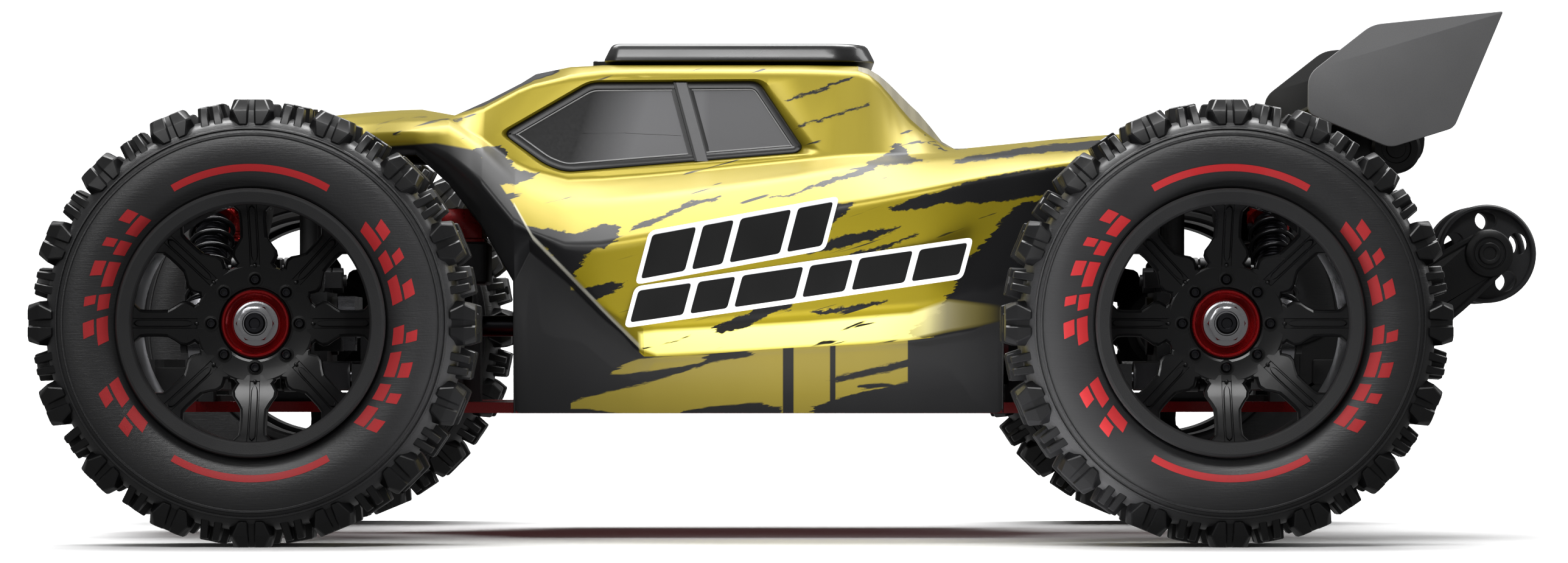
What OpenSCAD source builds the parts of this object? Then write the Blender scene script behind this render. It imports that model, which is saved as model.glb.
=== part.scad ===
/* [Stance] */
// Distance between the front and rear axles
wheelbase = 218; // [212:1:224]
// Front axle, ahead of the origin
front_axle_x = 124.5; // [122:0.5:127]
// Tyre diameter over the tread blocks
tyre_d = 100; // [98:1:102]
// Tyre width
tyre_w = 44; // [40:1:46]
// Width over the outer faces of the wheels
track_out = 250; // [248:1:254]

/* [Suspension] */
// Length of every arm between its pivots
arm_len = 60; // [58:1:62]
// Inner pivots, out from the centre line
inner_y = 24; // [23:0.5:25]
// Lower pivots, above the ground
low_z = 38; // [37:0.5:39]
// Upper pivots, above the ground
up_z = 62; // [61:0.5:63]
// Kingpin and drive joint, outboard of the outer arm pivots
king_out = 4; // [4:0.5:5]
// Shock plane, beyond the axle
shock_dx = 15.5; // [15:0.5:17]
// Shock upper eye, out from the centre line
shock_top_y = 32; // [31:0.5:34]
// Shock upper eye, above the ground
shock_top_z = 83; // [81:0.5:84]
// Shock lower eye, out from the centre line
shock_low_y = 62; // [61:0.5:63]
// Shock lower eye, above the ground
shock_low_z = 46; // [46:0.5:47]
// Coils in each spring
coils = 7; // [5:1:8]

/* [Chassis] */
// Underside of the chassis plate, above the ground
belly_z = 29.4; // [29:0.1:30]
// Thickness of the chassis plate
plate_t = 2.5; // [2:0.5:3]
// Wall of the body shell
skin = 1.2; // [1:0.1:1.5]

/* [Gears] */
// Gear module
gear_m = 0.8; // [0.8:0.1:0.8]
// Teeth on the spur gear
spur_teeth = 40; // [38:1:42]
// Teeth on the motor pinion
pinion_teeth = 15; // [13:1:16]

/* [Wheelie bar] */
// Diameter of the wheelie wheels
wheelie_d = 23.6; // [22:0.2:25]
// Wheelie axle, above the ground
wheelie_z = 67.2; // [65:0.1:69]

/* [Hidden] */
$fn = 48;

rear_axle_x = front_axle_x - wheelbase;
axle_z = tyre_d / 2;
wheel_y = track_out / 2 - tyre_w / 2;
outer_y = inner_y + arm_len;
king_y = outer_y + king_out;
drive_y = inner_y + king_out;
plate_top = belly_z + plate_t;
half_out = tyre_w / 2;
pin_r = 1.5;
fit = 0.05;
overlap = 0.2;
wheelie_x = -(front_axle_x + tyre_d / 2) + wheelie_d / 2;

// Corner names: axle end, then left or right
CORNERS = ["fl", "fr", "rl", "rr"];
FRONT = ["fl", "fr"];
REAR = ["rl", "rr"];
SIDES = [-1, 1];

function at_front(c) = c[0] == "f";
function at_left(c) = c[1] == "l";

// Puts a child drawn as the front left corner, about its axle, at corner c
module corner(c) {
    translate([at_front(c) ? front_axle_x : rear_axle_x, 0, 0])
        mirror([at_front(c) ? 0 : 1, 0, 0])
            mirror([0, at_left(c) ? 0 : 1, 0])
                children();
}

// A cylinder along X, from x0 to x1, centred on y and z
module rod_x(r, x0, x1, y, z) {
    translate([x0, y, z]) rotate([0, 90, 0]) cylinder(r = r, h = x1 - x0);
}

// A cylinder along Y, from y0 to y1, centred on x and z
module rod_y(r, y0, y1, x, z) {
    translate([x, y0, z]) rotate([-90, 0, 0]) cylinder(r = r, h = y1 - y0);
}

// A cylinder along Z, from z0 to z1, centred on x and y
module rod_z(r, z0, z1, x, y) {
    translate([x, y, z0]) cylinder(r = r, h = z1 - z0);
}

// A block between two corners
module block(low, high) {
    translate(low) cube(high - low);
}

// A side outline in X and Z, given a thickness from y0 to y1
module side_plate(points, y0, y1) {
    translate([0, y1, 0]) rotate([90, 0, 0]) linear_extrude(y1 - y0) polygon(points);
}

// ---------------------------------------------------------------- wheels

knobs = 16;
tread_r = tyre_d / 2;
carcass_r = tread_r - 3.5;
bead_r = 30;
lip_r = 26.5;
barrel_in_r = 28.2;
hub_face = 6.6;
hub_r = 10.5;
spokes = 8;
spoke_w = 6;
spoke_t = 3;

// Wheel axis along Z, outer face up, centred on the wheel's middle plane
module wheel_frame(c) {
    corner(c) translate([0, wheel_y, axle_z]) rotate([-90, 0, 0]) children();
}

// One ring of tread blocks, each taking span degrees, first block at angle turn
module block_ring(z0, z1, span, turn) {
    pitch = 360 / knobs;
    reach = tread_r + 10;
    translate([0, 0, z0]) linear_extrude(z1 - z0)
        intersection() {
            difference() {
                circle(r = tread_r, $fn = 96);
                circle(r = carcass_r - 1, $fn = 96);
            }
            for (i = [0:knobs - 1])
                rotate(turn + i * pitch)
                    polygon([[0, 0], reach * [cos(span / 2), -sin(span / 2)],
                        reach * [cos(span / 2), sin(span / 2)]]);
        }
}

module tyre(c) {
    side = half_out - 0.4;
    color("dimgray") wheel_frame(c) {
        rotate_extrude($fn = 96)
            polygon([[bead_r + fit, -side + 2], [bead_r + fit, side - 2], [bead_r + 2, side - 0.6],
                [36, side], [42, side - 1], [carcass_r - 1.5, side - 4], [carcass_r, side - 8],
                [carcass_r, 8 - side], [carcass_r - 1.5, 4 - side], [42, 1 - side], [36, -side],
                [bead_r + 2, 0.6 - side]]);
        for (s = SIDES) {
            block_ring(s > 0 ? 10.5 : -18, s > 0 ? 18 : -10.5, 13, 0);
            block_ring(s > 0 ? 1 : -9.5, s > 0 ? 9.5 : -1, 10, 180 / knobs);
        }
    }
}

module rim(c) {
    cup_in = king_y - wheel_y;
    color("#202020") wheel_frame(c) {
        difference() {
            union() {
                // Barrel and outer lip
                rotate_extrude($fn = 96)
                    polygon([[barrel_in_r, 2 - half_out], [bead_r, 2 - half_out], [bead_r, half_out],
                        [lip_r, half_out], [lip_r, half_out - 3], [barrel_in_r, half_out - 5]]);
                // Hub and axle, with the drive cup on its inner end
                translate([0, 0, hub_face - 7]) cylinder(r = hub_r, h = 7);
                translate([0, 0, cup_in - 3]) cylinder(r = 5, h = 7.6);
                translate([0, 0, cup_in]) cylinder(r = 2.5, h = hub_face + 3 - cup_in);
                translate([0, 0, hub_face]) cylinder(r = 4.4, h = 2.4);
                // Dished spokes
                for (i = [0:spokes - 1])
                    rotate(i * 360 / spokes)
                        translate([hub_r - 2, -spoke_w / 2, hub_face - spoke_t - 1])
                            rotate([0, -26, 0])
                                cube([23, spoke_w, spoke_t]);
            }
            translate([0, 0, cup_in - 3 - overlap]) cylinder(r = 3.9, h = 6.6);
        }
    }
}

// ------------------------------------------------------------ suspension

boss_x = 4.2;
tine_in = 4.7;
tine_out = 7.3;
eye_r = 3.5;
arm_t = 6;
low_half = 16;
lug_x0 = 6;
lug_x1 = 11.5;
eye_half = 3.5;
pin_end = shock_dx + eye_half + 1.9;

module lower_arm(c) {
    slot_y = outer_y - 5.5;
    color("#2b2b2b") corner(c) {
        difference() {
            union() {
                rod_x(eye_r, -low_half, low_half, inner_y, low_z);
                translate([0, 0, low_z - arm_t / 2]) linear_extrude(arm_t)
                    polygon([[-low_half, inner_y], [low_half, inner_y], [tine_out, slot_y],
                        [tine_out, outer_y], [-tine_out, outer_y], [-tine_out, slot_y]]);
                rod_x(eye_r, -tine_out, tine_out, outer_y, low_z);
                block([lug_x0, shock_low_y - 4, low_z], [lug_x1, shock_low_y + 4, shock_low_z]);
                rod_x(4, lug_x0, lug_x1, shock_low_y, shock_low_z);
            }
            rod_x(pin_r + fit, -low_half - 1, low_half + 1, inner_y, low_z);
            block([-tine_in, slot_y, low_z - 6], [tine_in, outer_y + 5, low_z + 6]);
            // Windows between the ribs
            for (s = SIDES)
                translate([0, 0, low_z - arm_t]) linear_extrude(2 * arm_t)
                    polygon([[s * 2, inner_y + 8], [s * 10, inner_y + 8], [s * 6, inner_y + 28],
                        [s * 2, inner_y + 28]]);
        }
        rod_x(pin_r, -tine_out - 0.8, tine_out + 0.8, outer_y, low_z);
        rod_x(pin_r, lug_x1 - 1, pin_end, shock_low_y, shock_low_z);
        rod_x(2.8, pin_end - 1.4, pin_end, shock_low_y, shock_low_z);
    }
}

module upper_arm(c) {
    slot_y = outer_y - 5.5;
    color("#2b2b2b") corner(c) {
        difference() {
            union() {
                rod_x(3.2, -3.4, 3.4, inner_y, up_z);
                block([-2.6, inner_y, up_z - 2], [2.6, slot_y - 3, up_z + 2]);
                block([-tine_out, slot_y - 4, up_z - 2], [tine_out, outer_y, up_z + 2]);
                rod_x(3.2, -tine_out, tine_out, outer_y, up_z);
            }
            rod_x(pin_r + fit, -5, 5, inner_y, up_z);
            block([-tine_in, slot_y, up_z - 6], [tine_in, outer_y + 5, up_z + 6]);
        }
        rod_x(pin_r, -tine_out - 0.8, tine_out + 0.8, outer_y, up_z);
    }
}

// The upright's inner face: two arm bosses joined round the drive shaft
module upright_spine(depth) {
    difference() {
        union() {
            for (z = [low_z, up_z])
                rod_x(eye_r - 0.3, -boss_x, boss_x, outer_y, z);
            block([-boss_x, outer_y - 3.2, low_z], [boss_x, outer_y - 3.2 + depth, up_z]);
            rod_y(8.5, outer_y - 3.2, outer_y - 3.2 + depth, 0, axle_z);
        }
        for (z = [low_z, up_z])
            rod_x(pin_r + fit, -10, 10, outer_y, z);
        rod_y(5.8, outer_y - 4, king_y + 3.6, 0, axle_z);
    }
}

king_r = 1.5;

module c_hub(c) {
    color("#333333") corner(c) {
        difference() {
            union() {
                upright_spine(3);
                for (s = SIDES)
                    translate([0, 0, axle_z + s * 12.9])
                        block([-boss_x, outer_y + 1.6, -1.8], [boss_x, king_y + 4, 1.8]);
            }
            rod_z(king_r + fit, low_z - 6, up_z + 6, 0, king_y);
            for (z = [low_z, up_z])
                rod_x(pin_r + fit, -10, 10, outer_y, z);
        }
    }
}

steer_arm = 16;
steer_lead = 0.72;
steer_pin_r = 1.2;

module steering_knuckle(c) {
    steer_x = steer_lead - steer_arm;
    color("#2f2f2f") corner(c) {
        difference() {
            union() {
                rod_y(8, king_y + 4.4, king_y + 11, 0, axle_z);
                for (s = SIDES) {
                    translate([0, 0, axle_z + s * 8.6])
                        block([-4, king_y + 2, -1.8], [4, king_y + 8, 1.8]);
                    // Round ear, clear of the arm's boss as it turns
                    translate([0, 0, axle_z + s * 7.5]) {
                        rod_z(3.5, -0.9, 0.9, 0, king_y);
                        block([-3.5, king_y, -0.9], [3.5, king_y + 4, 0.9]);
                    }
                    // Kingpin stub, running in the upright's leg
                    translate([0, king_y, axle_z + s * 10.7]) cylinder(r = king_r, h = 7.4, center = true);
                }
                // Steering arm behind the axle, its foot under the tie rod's eye
                block([steer_x - 3, king_y + 5.6, axle_z - 2], [-5, king_y + 8, axle_z + 2]);
                block([steer_x - 3, king_y - 3, axle_z - 6.2], [steer_x + 3, king_y + 8, axle_z - 3.7]);
                block([steer_x - 3, king_y + 5.6, axle_z - 6.2], [steer_x + 3, king_y + 8, axle_z]);
                rod_z(steer_pin_r, axle_z - 4, axle_z + 3.4, steer_x, king_y);
            }
            rod_y(2.5 + fit, king_y, king_y + 15, 0, axle_z);
            rod_y(5.8, king_y - 5, king_y + 5.2, 0, axle_z);
        }
    }
}

module rear_carrier(c) {
    color("#333333") corner(c) {
        difference() {
            union() {
                upright_spine(8);
                rod_y(8.5, outer_y - 3.2, king_y + 11, 0, axle_z);
            }
            rod_y(5.8, outer_y - 4, king_y + 5.2, 0, axle_z);
            rod_y(2.5 + fit, king_y, king_y + 15, 0, axle_z);
            for (z = [low_z, up_z])
                rod_x(pin_r + fit, -10, 10, outer_y, z);
        }
    }
}

// Shock line from the upper eye to the lower eye
shock_dy = shock_low_y - shock_top_y;
shock_dz = shock_top_z - shock_low_z;
shock_len = sqrt(shock_dy * shock_dy + shock_dz * shock_dz);
shock_lean = atan2(shock_dy, shock_dz);
seat_top = 11;
seat_low = shock_len - 8.5;
tube_end = 26;
piston_z = 17.2;

// Upper eye at the origin, lower eye at shock_len up the Z axis, eyes along X
module shock_frame(c) {
    corner(c) translate([shock_dx, shock_top_y, shock_top_z])
        rotate([180 + shock_lean, 0, 0]) children();
}

module shock_body(c) {
    color("#b01818") shock_frame(c)
        difference() {
            union() {
                rod_x(4, -eye_half, eye_half, 0, 0);
                block([-2.5, -2.5, 0], [2.5, 2.5, 5]);
                translate([0, 0, 4]) cylinder(r = 4.9, h = 5.2);
                translate([0, 0, 9]) cylinder(r = 5.6, h = seat_top - 9);
                translate([0, 0, 9]) cylinder(r = 3.9, h = tube_end - 9);
            }
            rod_x(pin_r + fit, -eye_half - 1, eye_half + 1, 0, 0);
            translate([0, 0, 5.5]) cylinder(r = 3, h = tube_end - 7.5);
            translate([0, 0, 5.5]) cylinder(r = 1.35, h = tube_end);
        }
}

module shock_rod(c) {
    color("silver") shock_frame(c)
        difference() {
            union() {
                translate([0, 0, piston_z]) cylinder(r = 2.92, h = 1.4);
                translate([0, 0, piston_z]) cylinder(r = 1.3, h = shock_len - 3 - piston_z);
                translate([0, 0, seat_low]) cylinder(r = 5.6, h = 1.6);
                translate([0, 0, seat_low]) cylinder(r = 2.4, h = shock_len - 3 - seat_low);
                rod_x(4.1, -eye_half, eye_half, 0, shock_len);
            }
            rod_x(pin_r + 1.0, -eye_half - 1, eye_half + 1, 0, shock_len);
        }
}

wire_r = 0.55;
coil_r = 4.9;
turn_steps = 12;
wire_sides = 6;

// One ring of the spring wire, at step i of n, across a run of length h
function wire_ring(i, n, h) = [
    for (k = [0:wire_sides - 1])
        let (a = 360 * coils * i / n, b = 360 * k / wire_sides, r = coil_r + wire_r * cos(b))
            [r * cos(a), r * sin(a), h * i / n + wire_r * sin(b)]
];

module spring(c) {
    n = coils * turn_steps;
    h = seat_low - seat_top - 2 * wire_r - 0.1;
    points = [for (i = [0:n]) each wire_ring(i, n, h)];
    walls = [
        for (i = [0:n - 1], k = [0:wire_sides - 1])
            let (a = i * wire_sides + k, b = i * wire_sides + (k + 1) % wire_sides)
                each [[a, b, a + wire_sides], [b, b + wire_sides, a + wire_sides]]
    ];
    first = [for (k = [wire_sides - 1:-1:0]) k];
    last = [for (k = [0:wire_sides - 1]) n * wire_sides + k];
    color("#151515") shock_frame(c)
        translate([0, 0, seat_top + wire_r + 0.05])
            polyhedron(points = points, faces = [first, last, each walls]);
}

module halfshaft(c) {
    color("silver") corner(c) {
        rod_y(1.6, drive_y, king_y, 0, axle_z);
        for (y = [drive_y, king_y])
            translate([0, y, axle_z]) sphere(r = 3);
    }
}

// -------------------------------------------------------------- steering

rack_x = 2 * steer_lead - steer_arm;
horn_r = 12;
// The servo stands to the left of the centre shaft
servo_y = 13;

module tie_rod(c) {
    color("silver") corner(c)
        difference() {
            union() {
                rod_x(2.8, rack_x - 1.8, rack_x + 1.8, drive_y, axle_z);
                rod_y(1.4, drive_y, king_y - 3, rack_x, axle_z);
                rod_z(4, axle_z - 1.7, axle_z + 1.7, rack_x, king_y);
            }
            rod_x(steer_pin_r + fit, rack_x - 3, rack_x + 3, drive_y, axle_z);
            rod_z(steer_pin_r + 1.5, axle_z - 3, axle_z + 3, rack_x, king_y);
        }
}

module steering_rack() {
    x = front_axle_x + rack_x;
    // Clear of the shaft over the whole travel
    arch_y = 9.4;
    arch_z = axle_z + 3.4;
    color("#303030")
        difference() {
            union() {
                block([x - 2, -drive_y + 4, axle_z - 2.5], [x + 2, -arch_y, axle_z + 2.5]);
                block([x - 2, arch_y, axle_z - 2.5], [x + 2, drive_y - 4, axle_z + 2.5]);
                block([x - 2, -arch_y - 3, axle_z - 2.5], [x + 2, -arch_y, arch_z + 3.6]);
                block([x - 2, arch_y, axle_z - 6], [x + 2, servo_y + 4.5, arch_z + 3.6]);
                block([x - 2, -arch_y - 3, arch_z], [x + 2, servo_y + 4.5, arch_z + 3.6]);
                for (s = SIDES) {
                    for (e = SIDES)
                        translate([x + e * 3, s * drive_y, axle_z])
                            block([-0.9, -3, -2.5], [0.9, 3, 2.5]);
                    translate([x, s * (drive_y - 4.6), axle_z])
                        block([-3.9, -1.6, -2.5], [3.9, 1.6, 2.5]);
                    rod_x(steer_pin_r, x - 4.6, x + 4.6, s * drive_y, axle_z);
                }
            }
            // Slot for the horn's pin
            block([x - 3, servo_y - 1.7, axle_z - 4.6], [x + 3, servo_y + 1.7, axle_z + 2]);
        }
}

module servo_horn() {
    x = front_axle_x + rack_x;
    pivot_z = axle_z - horn_r;
    half_w = 2;
    color("#e8e8e8") {
        block([x - 6, servo_y - half_w, pivot_z], [x - 3.2, servo_y + half_w, axle_z + 1.5]);
        rod_x(4.2, x - 6, x - 3.2, servo_y, pivot_z);
        rod_x(steer_pin_r, x - 4, x + 2.2, servo_y, axle_z);
    }
}

module servo() {
    x = front_axle_x + rack_x;
    z = axle_z - horn_r;
    ear_y = 8.8;
    color("#1c1c24")
        translate([0, servo_y, 0])
            difference() {
                union() {
                    block([x - 32, -6.5, plate_top], [x - 10, 6.5, plate_top + 22]);
                    rod_x(5, x - 11, x - 8, 0, z);
                    rod_x(2, x - 9, x - 6.3, 0, z);
                    block([x - 14, -11, plate_top], [x - 11.5, 11, plate_top + 14]);
                }
                for (s = SIDES)
                    rod_x(1.2, x - 15, x - 11, s * ear_y, plate_top + 10);
            }
}

// --------------------------------------------------------------- chassis

module chassis_plate() {
    nose = front_axle_x + 38;
    tail = rear_axle_x - 24;
    outline = [[nose, 14], [front_axle_x + 21, 22], [front_axle_x - 24, 22],
        [front_axle_x - 58, 60], [rear_axle_x + 51, 60], [rear_axle_x + 26, 22], [tail, 22]];
    far = [for (i = [len(outline) - 1:-1:0]) [outline[i][0], -outline[i][1]]];
    color("#a01c1c") translate([0, 0, belly_z]) linear_extrude(plate_t)
        difference() {
            polygon([each outline, each far]);
            for (s = SIDES, x = [-20, 10, 40])
                translate([x, s * 54]) circle(r = 1.6);
        }
}

module front_bumper() {
    x = front_axle_x + 21;
    color("#242424") {
        block([x, -18, plate_top], [x + 12, 18, plate_top + 8]);
        translate([0, 0, plate_top]) linear_extrude(10)
            polygon([[x + 12, -40], [x + 19, -36], [x + 24, -20], [x + 24, 20], [x + 19, 36],
                [x + 12, 40], [x + 8, 40], [x + 11, 16], [x + 11, -16], [x + 8, -40]]);
    }
}

case_in = -10;
case_out = 6.4;
case_y = 19;
case_top = 66;

module gearbox_housings() {
    color("#262626")
        for (c = ["fl", "rl"]) corner(c)
            difference() {
                union() {
                    block([case_in, -case_y, plate_top], [case_out, case_y, case_top - 8]);
                    block([case_in + 3, -13, plate_top], [case_out, 13, case_top]);
                    // Input boss for the centre shaft
                    rod_x(7, case_in - 1.5, case_in + 1, 0, axle_z);
                    for (s = SIDES) {
                        // Drive cups
                        rod_y(5.5, s > 0 ? case_y - 1 : -drive_y - 3, s > 0 ? drive_y + 3 : 1 - case_y,
                            0, axle_z);
                        // Ears for the upper pins
                        for (e = SIDES)
                            translate([e * 5.15, 0, up_z]) {
                                block([-1.25, s > 0 ? 12 : -inner_y, -3.3],
                                    [1.25, s > 0 ? inner_y : -12, 3.3]);
                                rod_x(3.3, -1.25, 1.25, s * inner_y, 0);
                            }
                        // Blocks for the lower pins
                        for (e = SIDES)
                            translate([e * 18.2, s * (inner_y - 1.5), plate_top])
                                block([-1.8, -4.5, 0], [1.8, 4.5, 8.9]);
                    }
                    for (e = SIDES)
                        translate([e * 18.2, 0, plate_top]) block([-1.8, -20, 0], [1.8, 20, 1.4]);
                    block([-18.2, -8, plate_top], [18.2, 8, plate_top + 1.4]);
                }
                for (s = SIDES) {
                    rod_x(pin_r + fit, -25, 25, s * inner_y, low_z);
                    rod_x(pin_r + fit, -8, 8, s * inner_y, up_z);
                    rod_y(3.7, s > 0 ? drive_y - 5 : -drive_y - 4, s > 0 ? drive_y + 4 : 5 - drive_y,
                        0, axle_z);
                }
                // Shaft bore
                rod_x(2.5 + fit, case_in - 6, case_in + 6, 0, axle_z);
            }
}

tower_x0 = 6.8;
tower_x1 = 9.3;

module shock_towers() {
    half = [[0, plate_top + 3.4], [16, plate_top + 3.4], [16, 60], [12, 68], [20, 72], [31, 76],
        [36, 79], [37, 84], [33, 87], [26, 84], [14, 78], [0, 78]];
    far = [for (i = [len(half) - 2:-1:1]) [-half[i][0], half[i][1]]];
    color("#1b1b1b")
        for (c = ["fl", "rl"]) corner(c) {
            difference() {
                translate([tower_x0, 0, 0]) rotate([90, 0, 90]) linear_extrude(tower_x1 - tower_x0)
                    polygon([each half, each far]);
                for (s = SIDES)
                    rod_x(1.3, 5, 11, s * 26, 80);
                rod_x(6, 5, 11, 0, axle_z + 18);
            }
            for (s = SIDES) {
                rod_x(pin_r, tower_x1 - 1, pin_end, s * shock_top_y, shock_top_z);
                rod_x(2.8, pin_end - 1.4, pin_end, s * shock_top_y, shock_top_z);
                rod_x(3, tower_x1 - 1, shock_dx - eye_half - 0.4, s * shock_top_y, shock_top_z);
            }
        }
}

module hinge_pins() {
    color("silver")
        for (c = CORNERS) corner(c) {
            rod_x(pin_r, -20.4, 20.4, inner_y, low_z);
            rod_x(pin_r, -6.6, 6.6, inner_y, up_z);
        }
}

// ------------------------------------------------------------- drive line

spur_x = rear_axle_x + 32;
spur_t = 5;
gear_gap = gear_m * (spur_teeth + pinion_teeth) / 2;
motor_r = 14;

// Spur gear outline: straight-sided teeth, set a little inside their pitch thickness
module gear_outline(teeth, turn) {
    rp = gear_m * teeth / 2;
    root = rp - 1.25 * gear_m;
    tip = rp + gear_m;
    wide = 360 / teeth;
    union() {
        circle(r = root + 0.05, $fn = 64);
        for (i = [0:teeth - 1])
            rotate(turn + i * wide)
                polygon([[root - 0.5, -0.62 * gear_m], [rp, -0.66 * gear_m], [tip, -0.28 * gear_m],
                    [tip, 0.28 * gear_m], [rp, 0.66 * gear_m], [root - 0.5, 0.62 * gear_m]]);
    }
}

module centre_shaft() {
    x0 = rear_axle_x - case_in - 5;
    x1 = front_axle_x + case_in + 5;
    color("#c8c8cc") {
        rod_x(2.5, x0, x1, 0, axle_z);
        translate([spur_x, 0, axle_z]) rotate([90, 0, 90]) linear_extrude(spur_t)
            gear_outline(spur_teeth, 0);
        rod_x(8, spur_x - 4, spur_x + 0.5, 0, axle_z);
    }
}

module motor_pinion() {
    color("#d8b040")
        translate([spur_x, gear_gap, axle_z]) rotate([90, 0, 90]) {
            linear_extrude(spur_t)
                gear_outline(pinion_teeth, 180 / pinion_teeth * (1 + pinion_teeth % 2));
            translate([0, 0, spur_t - 0.5]) cylinder(r = 4, h = 4.5);
            // Motor shaft, running into the motor's front bearing
            cylinder(r = 1.6, h = 17);
        }
}

module motor() {
    x0 = spur_x + 14;
    z0 = axle_z - motor_r;
    color("#303a48") {
        difference() {
            rod_x(motor_r, x0, x0 + 40, gear_gap, axle_z);
            rod_x(1.6 + fit, x0 - 1, x0 + 4, gear_gap, axle_z);
        }
        rod_x(4, x0 + 39, x0 + 43, gear_gap, axle_z);
        difference() {
            block([x0 - 3, gear_gap - 13, plate_top], [x0, gear_gap + 13, axle_z + 12]);
            rod_x(4.5, x0 - 4, x0 + 1, gear_gap, axle_z);
        }
        block([x0 + 10, gear_gap - 8, plate_top], [x0 + 30, gear_gap + 8, z0 + 2.5]);
    }
}

module battery() {
    color("#20242c") {
        block([-24, -44, plate_top], [62, -12, plate_top + 22]);
        // Hold-down strap
        difference() {
            block([14, -46, plate_top], [26, -10, plate_top + 24]);
            block([13, -44, plate_top - 1], [27, -12, plate_top + 22]);
        }
    }
}

module esc() {
    x0 = front_axle_x - 48;
    deck = 60;
    leg_y = 22;
    fins = 6;
    fin_pitch = 5.2;
    color("#8c1f1f") {
        block([x0, -16, deck], [x0 + 24, 16, deck + 10]);
        for (i = [0:fins - 1])
            block([x0 + 1, i * fin_pitch - 14, deck + 10], [x0 + 11, i * fin_pitch - 12, deck + 18]);
        // Bridge that carries it over the servo
        block([x0 + 5, -leg_y - 1.5, deck - 2], [x0 + 11, leg_y + 1.5, deck]);
        for (s = SIDES)
            translate([x0 + 8, s * leg_y, plate_top])
                block([-3, -1.5, 0], [3, 1.5, deck - plate_top]);
    }
}

// ------------------------------------------------------------- body shell

post_r = 2.2;
front_post = [front_axle_x - 5, 9];
rear_post = [rear_axle_x + 5, 9];

module body_posts() {
    color("#2a2a2a")
        for (p = [[front_post, 101.9], [rear_post, 98.8]], s = SIDES) {
            rod_z(post_r, case_top, p[1], p[0][0], s * p[0][1]);
            // Collar under the skin and clip over it
            rod_z(4, p[1] - 6.6, p[1] - 5, p[0][0], s * p[0][1]);
            rod_z(3.6, p[1] - 1.6, p[1] - 0.6, p[0][0], s * p[0][1]);
        }
}

// Body sections from nose to tail. Each row: x, then the half outline from the
// lower edge, over the side bulge, belt line and roof edge, to the centre line.
SHELL = [
    [163, [12, 29.5], [13, 66.6], [14, 67.4], [14.5, 68.6], [14, 70],
        [12, 71.4], [9, 72.4], [5, 73], [0, 73.2]],
    [146, [21, 29.5], [22, 80.6], [23, 81.4], [24, 82.8], [23, 84.6],
        [21, 86.4], [17, 88], [10, 89], [0, 89.6]],
    [130, [25, 29.5], [26, 89], [27, 89.8], [27.5, 91], [26.5, 92.6],
        [24, 94.2], [19, 95.8], [11, 96.8], [0, 97.2]],
    [111, [28, 29.5], [29, 90.6], [30, 91.4], [31, 92.8], [30, 94.8],
        [27, 97.2], [21, 99.4], [12, 100.6], [0, 101]],
    [92, [41, 29.5], [43, 90.6], [46, 91.4], [48, 93], [47, 95.4],
        [42, 98], [30, 100.4], [15, 101.7], [0, 102]],
    [84, [51, 29.5], [52, 84], [54, 85.6], [56, 89], [51, 96],
        [46.5, 98], [38, 99.2], [18, 100.2], [0, 100.6]],
    [76, [60, 29.5], [61, 74.4], [63, 77], [65, 83], [56, 91],
        [50, 93.4], [44, 101], [22, 103.6], [0, 104]],
    [68, [64, 29.5], [64.5, 60], [68, 67], [71, 73.4], [60, 82.8],
        [53, 87.6], [42.4, 105.3], [21, 107.8], [0, 108.2]],
    [64.5, [64, 29.5], [64.5, 67], [70, 69.4], [72.5, 71.2], [62, 80.4],
        [53.5, 86], [42, 106.6], [24, 109.8], [0, 110]],
    [56, [64, 29.5], [65, 60], [74, 62.6], [76, 67.7], [64, 78],
        [54, 83.8], [41, 108.4], [35, 111], [0, 111.4]],
    [48, [64, 29.5], [65, 52], [76.5, 54.6], [77.4, 68], [65, 78.3],
        [54, 84], [40.5, 109.4], [35.6, 111.4], [0, 111.6]],
    [38, [64, 29.5], [65.5, 43.5], [78, 48.2], [78, 69.7], [66, 79.3],
        [54, 84.7], [40, 109.7], [35.6, 111.4], [0, 111.6]],
    [4, [64, 29.5], [66, 45.5], [78, 50.6], [78, 75.4], [66, 84.2],
        [54, 88], [40, 109.7], [35.6, 111.4], [0, 111.6]],
    [-12, [64, 29.5], [66, 46.3], [78, 51.8], [78, 78], [63, 87],
        [55, 89.4], [40, 109.4], [34, 111.2], [0, 111.6]],
    [-26.5, [64, 29.5], [66, 47.6], [78, 53], [77, 81], [60.5, 88.2],
        [53, 89.8], [41, 96], [24, 100.6], [0, 101.4]],
    [-35, [63.5, 29.5], [65.5, 49], [75, 56], [75, 82.8], [60, 88.8],
        [49, 90.3], [37, 91.4], [20, 92.2], [0, 92.4]],
    [-45, [62, 29.5], [63, 51], [70, 60], [71.4, 84.6], [60, 89.3],
        [47, 91], [35, 92.3], [20, 93], [0, 93.2]],
    [-60, [61, 29.5], [62, 70], [66, 76], [67, 87.2], [58, 90.4],
        [46, 92], [34, 93.5], [20, 94.5], [0, 94.8]],
    [-74, [56, 29.5], [57, 83], [60, 85], [61, 88.5], [55, 91.3],
        [45, 93.2], [33, 94.9], [20, 95.6], [0, 95.9]],
    [-95, [46, 29.5], [47, 89], [49, 89.6], [50, 90.6], [47, 92],
        [40, 93.7], [30, 95.5], [18, 96.4], [0, 96.8]],
    [-115, [38, 29.5], [39, 90.4], [40, 90.9], [40.5, 91.7], [39, 92.8],
        [34, 94.3], [27, 95.9], [16, 96.7], [0, 97]],
];
half_n = len(SHELL[0]) - 1;
ring_n = 2 * half_n - 1;

// Point k of a section pulled inwards by the skin: side points move in, top points down
function pull(p, k) =
    k == 0 ? [p[0] - skin, p[1] - 3] :
    k < 4 ? [p[0] - skin, p[1]] :
    k == 4 ? [p[0] - skin, p[1] - skin] : [p[0], p[1] - skin];

function half_points(row, inside) = [
    for (k = [0:half_n - 1]) inside ? pull(row[k + 1], k) : row[k + 1]
];

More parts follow.
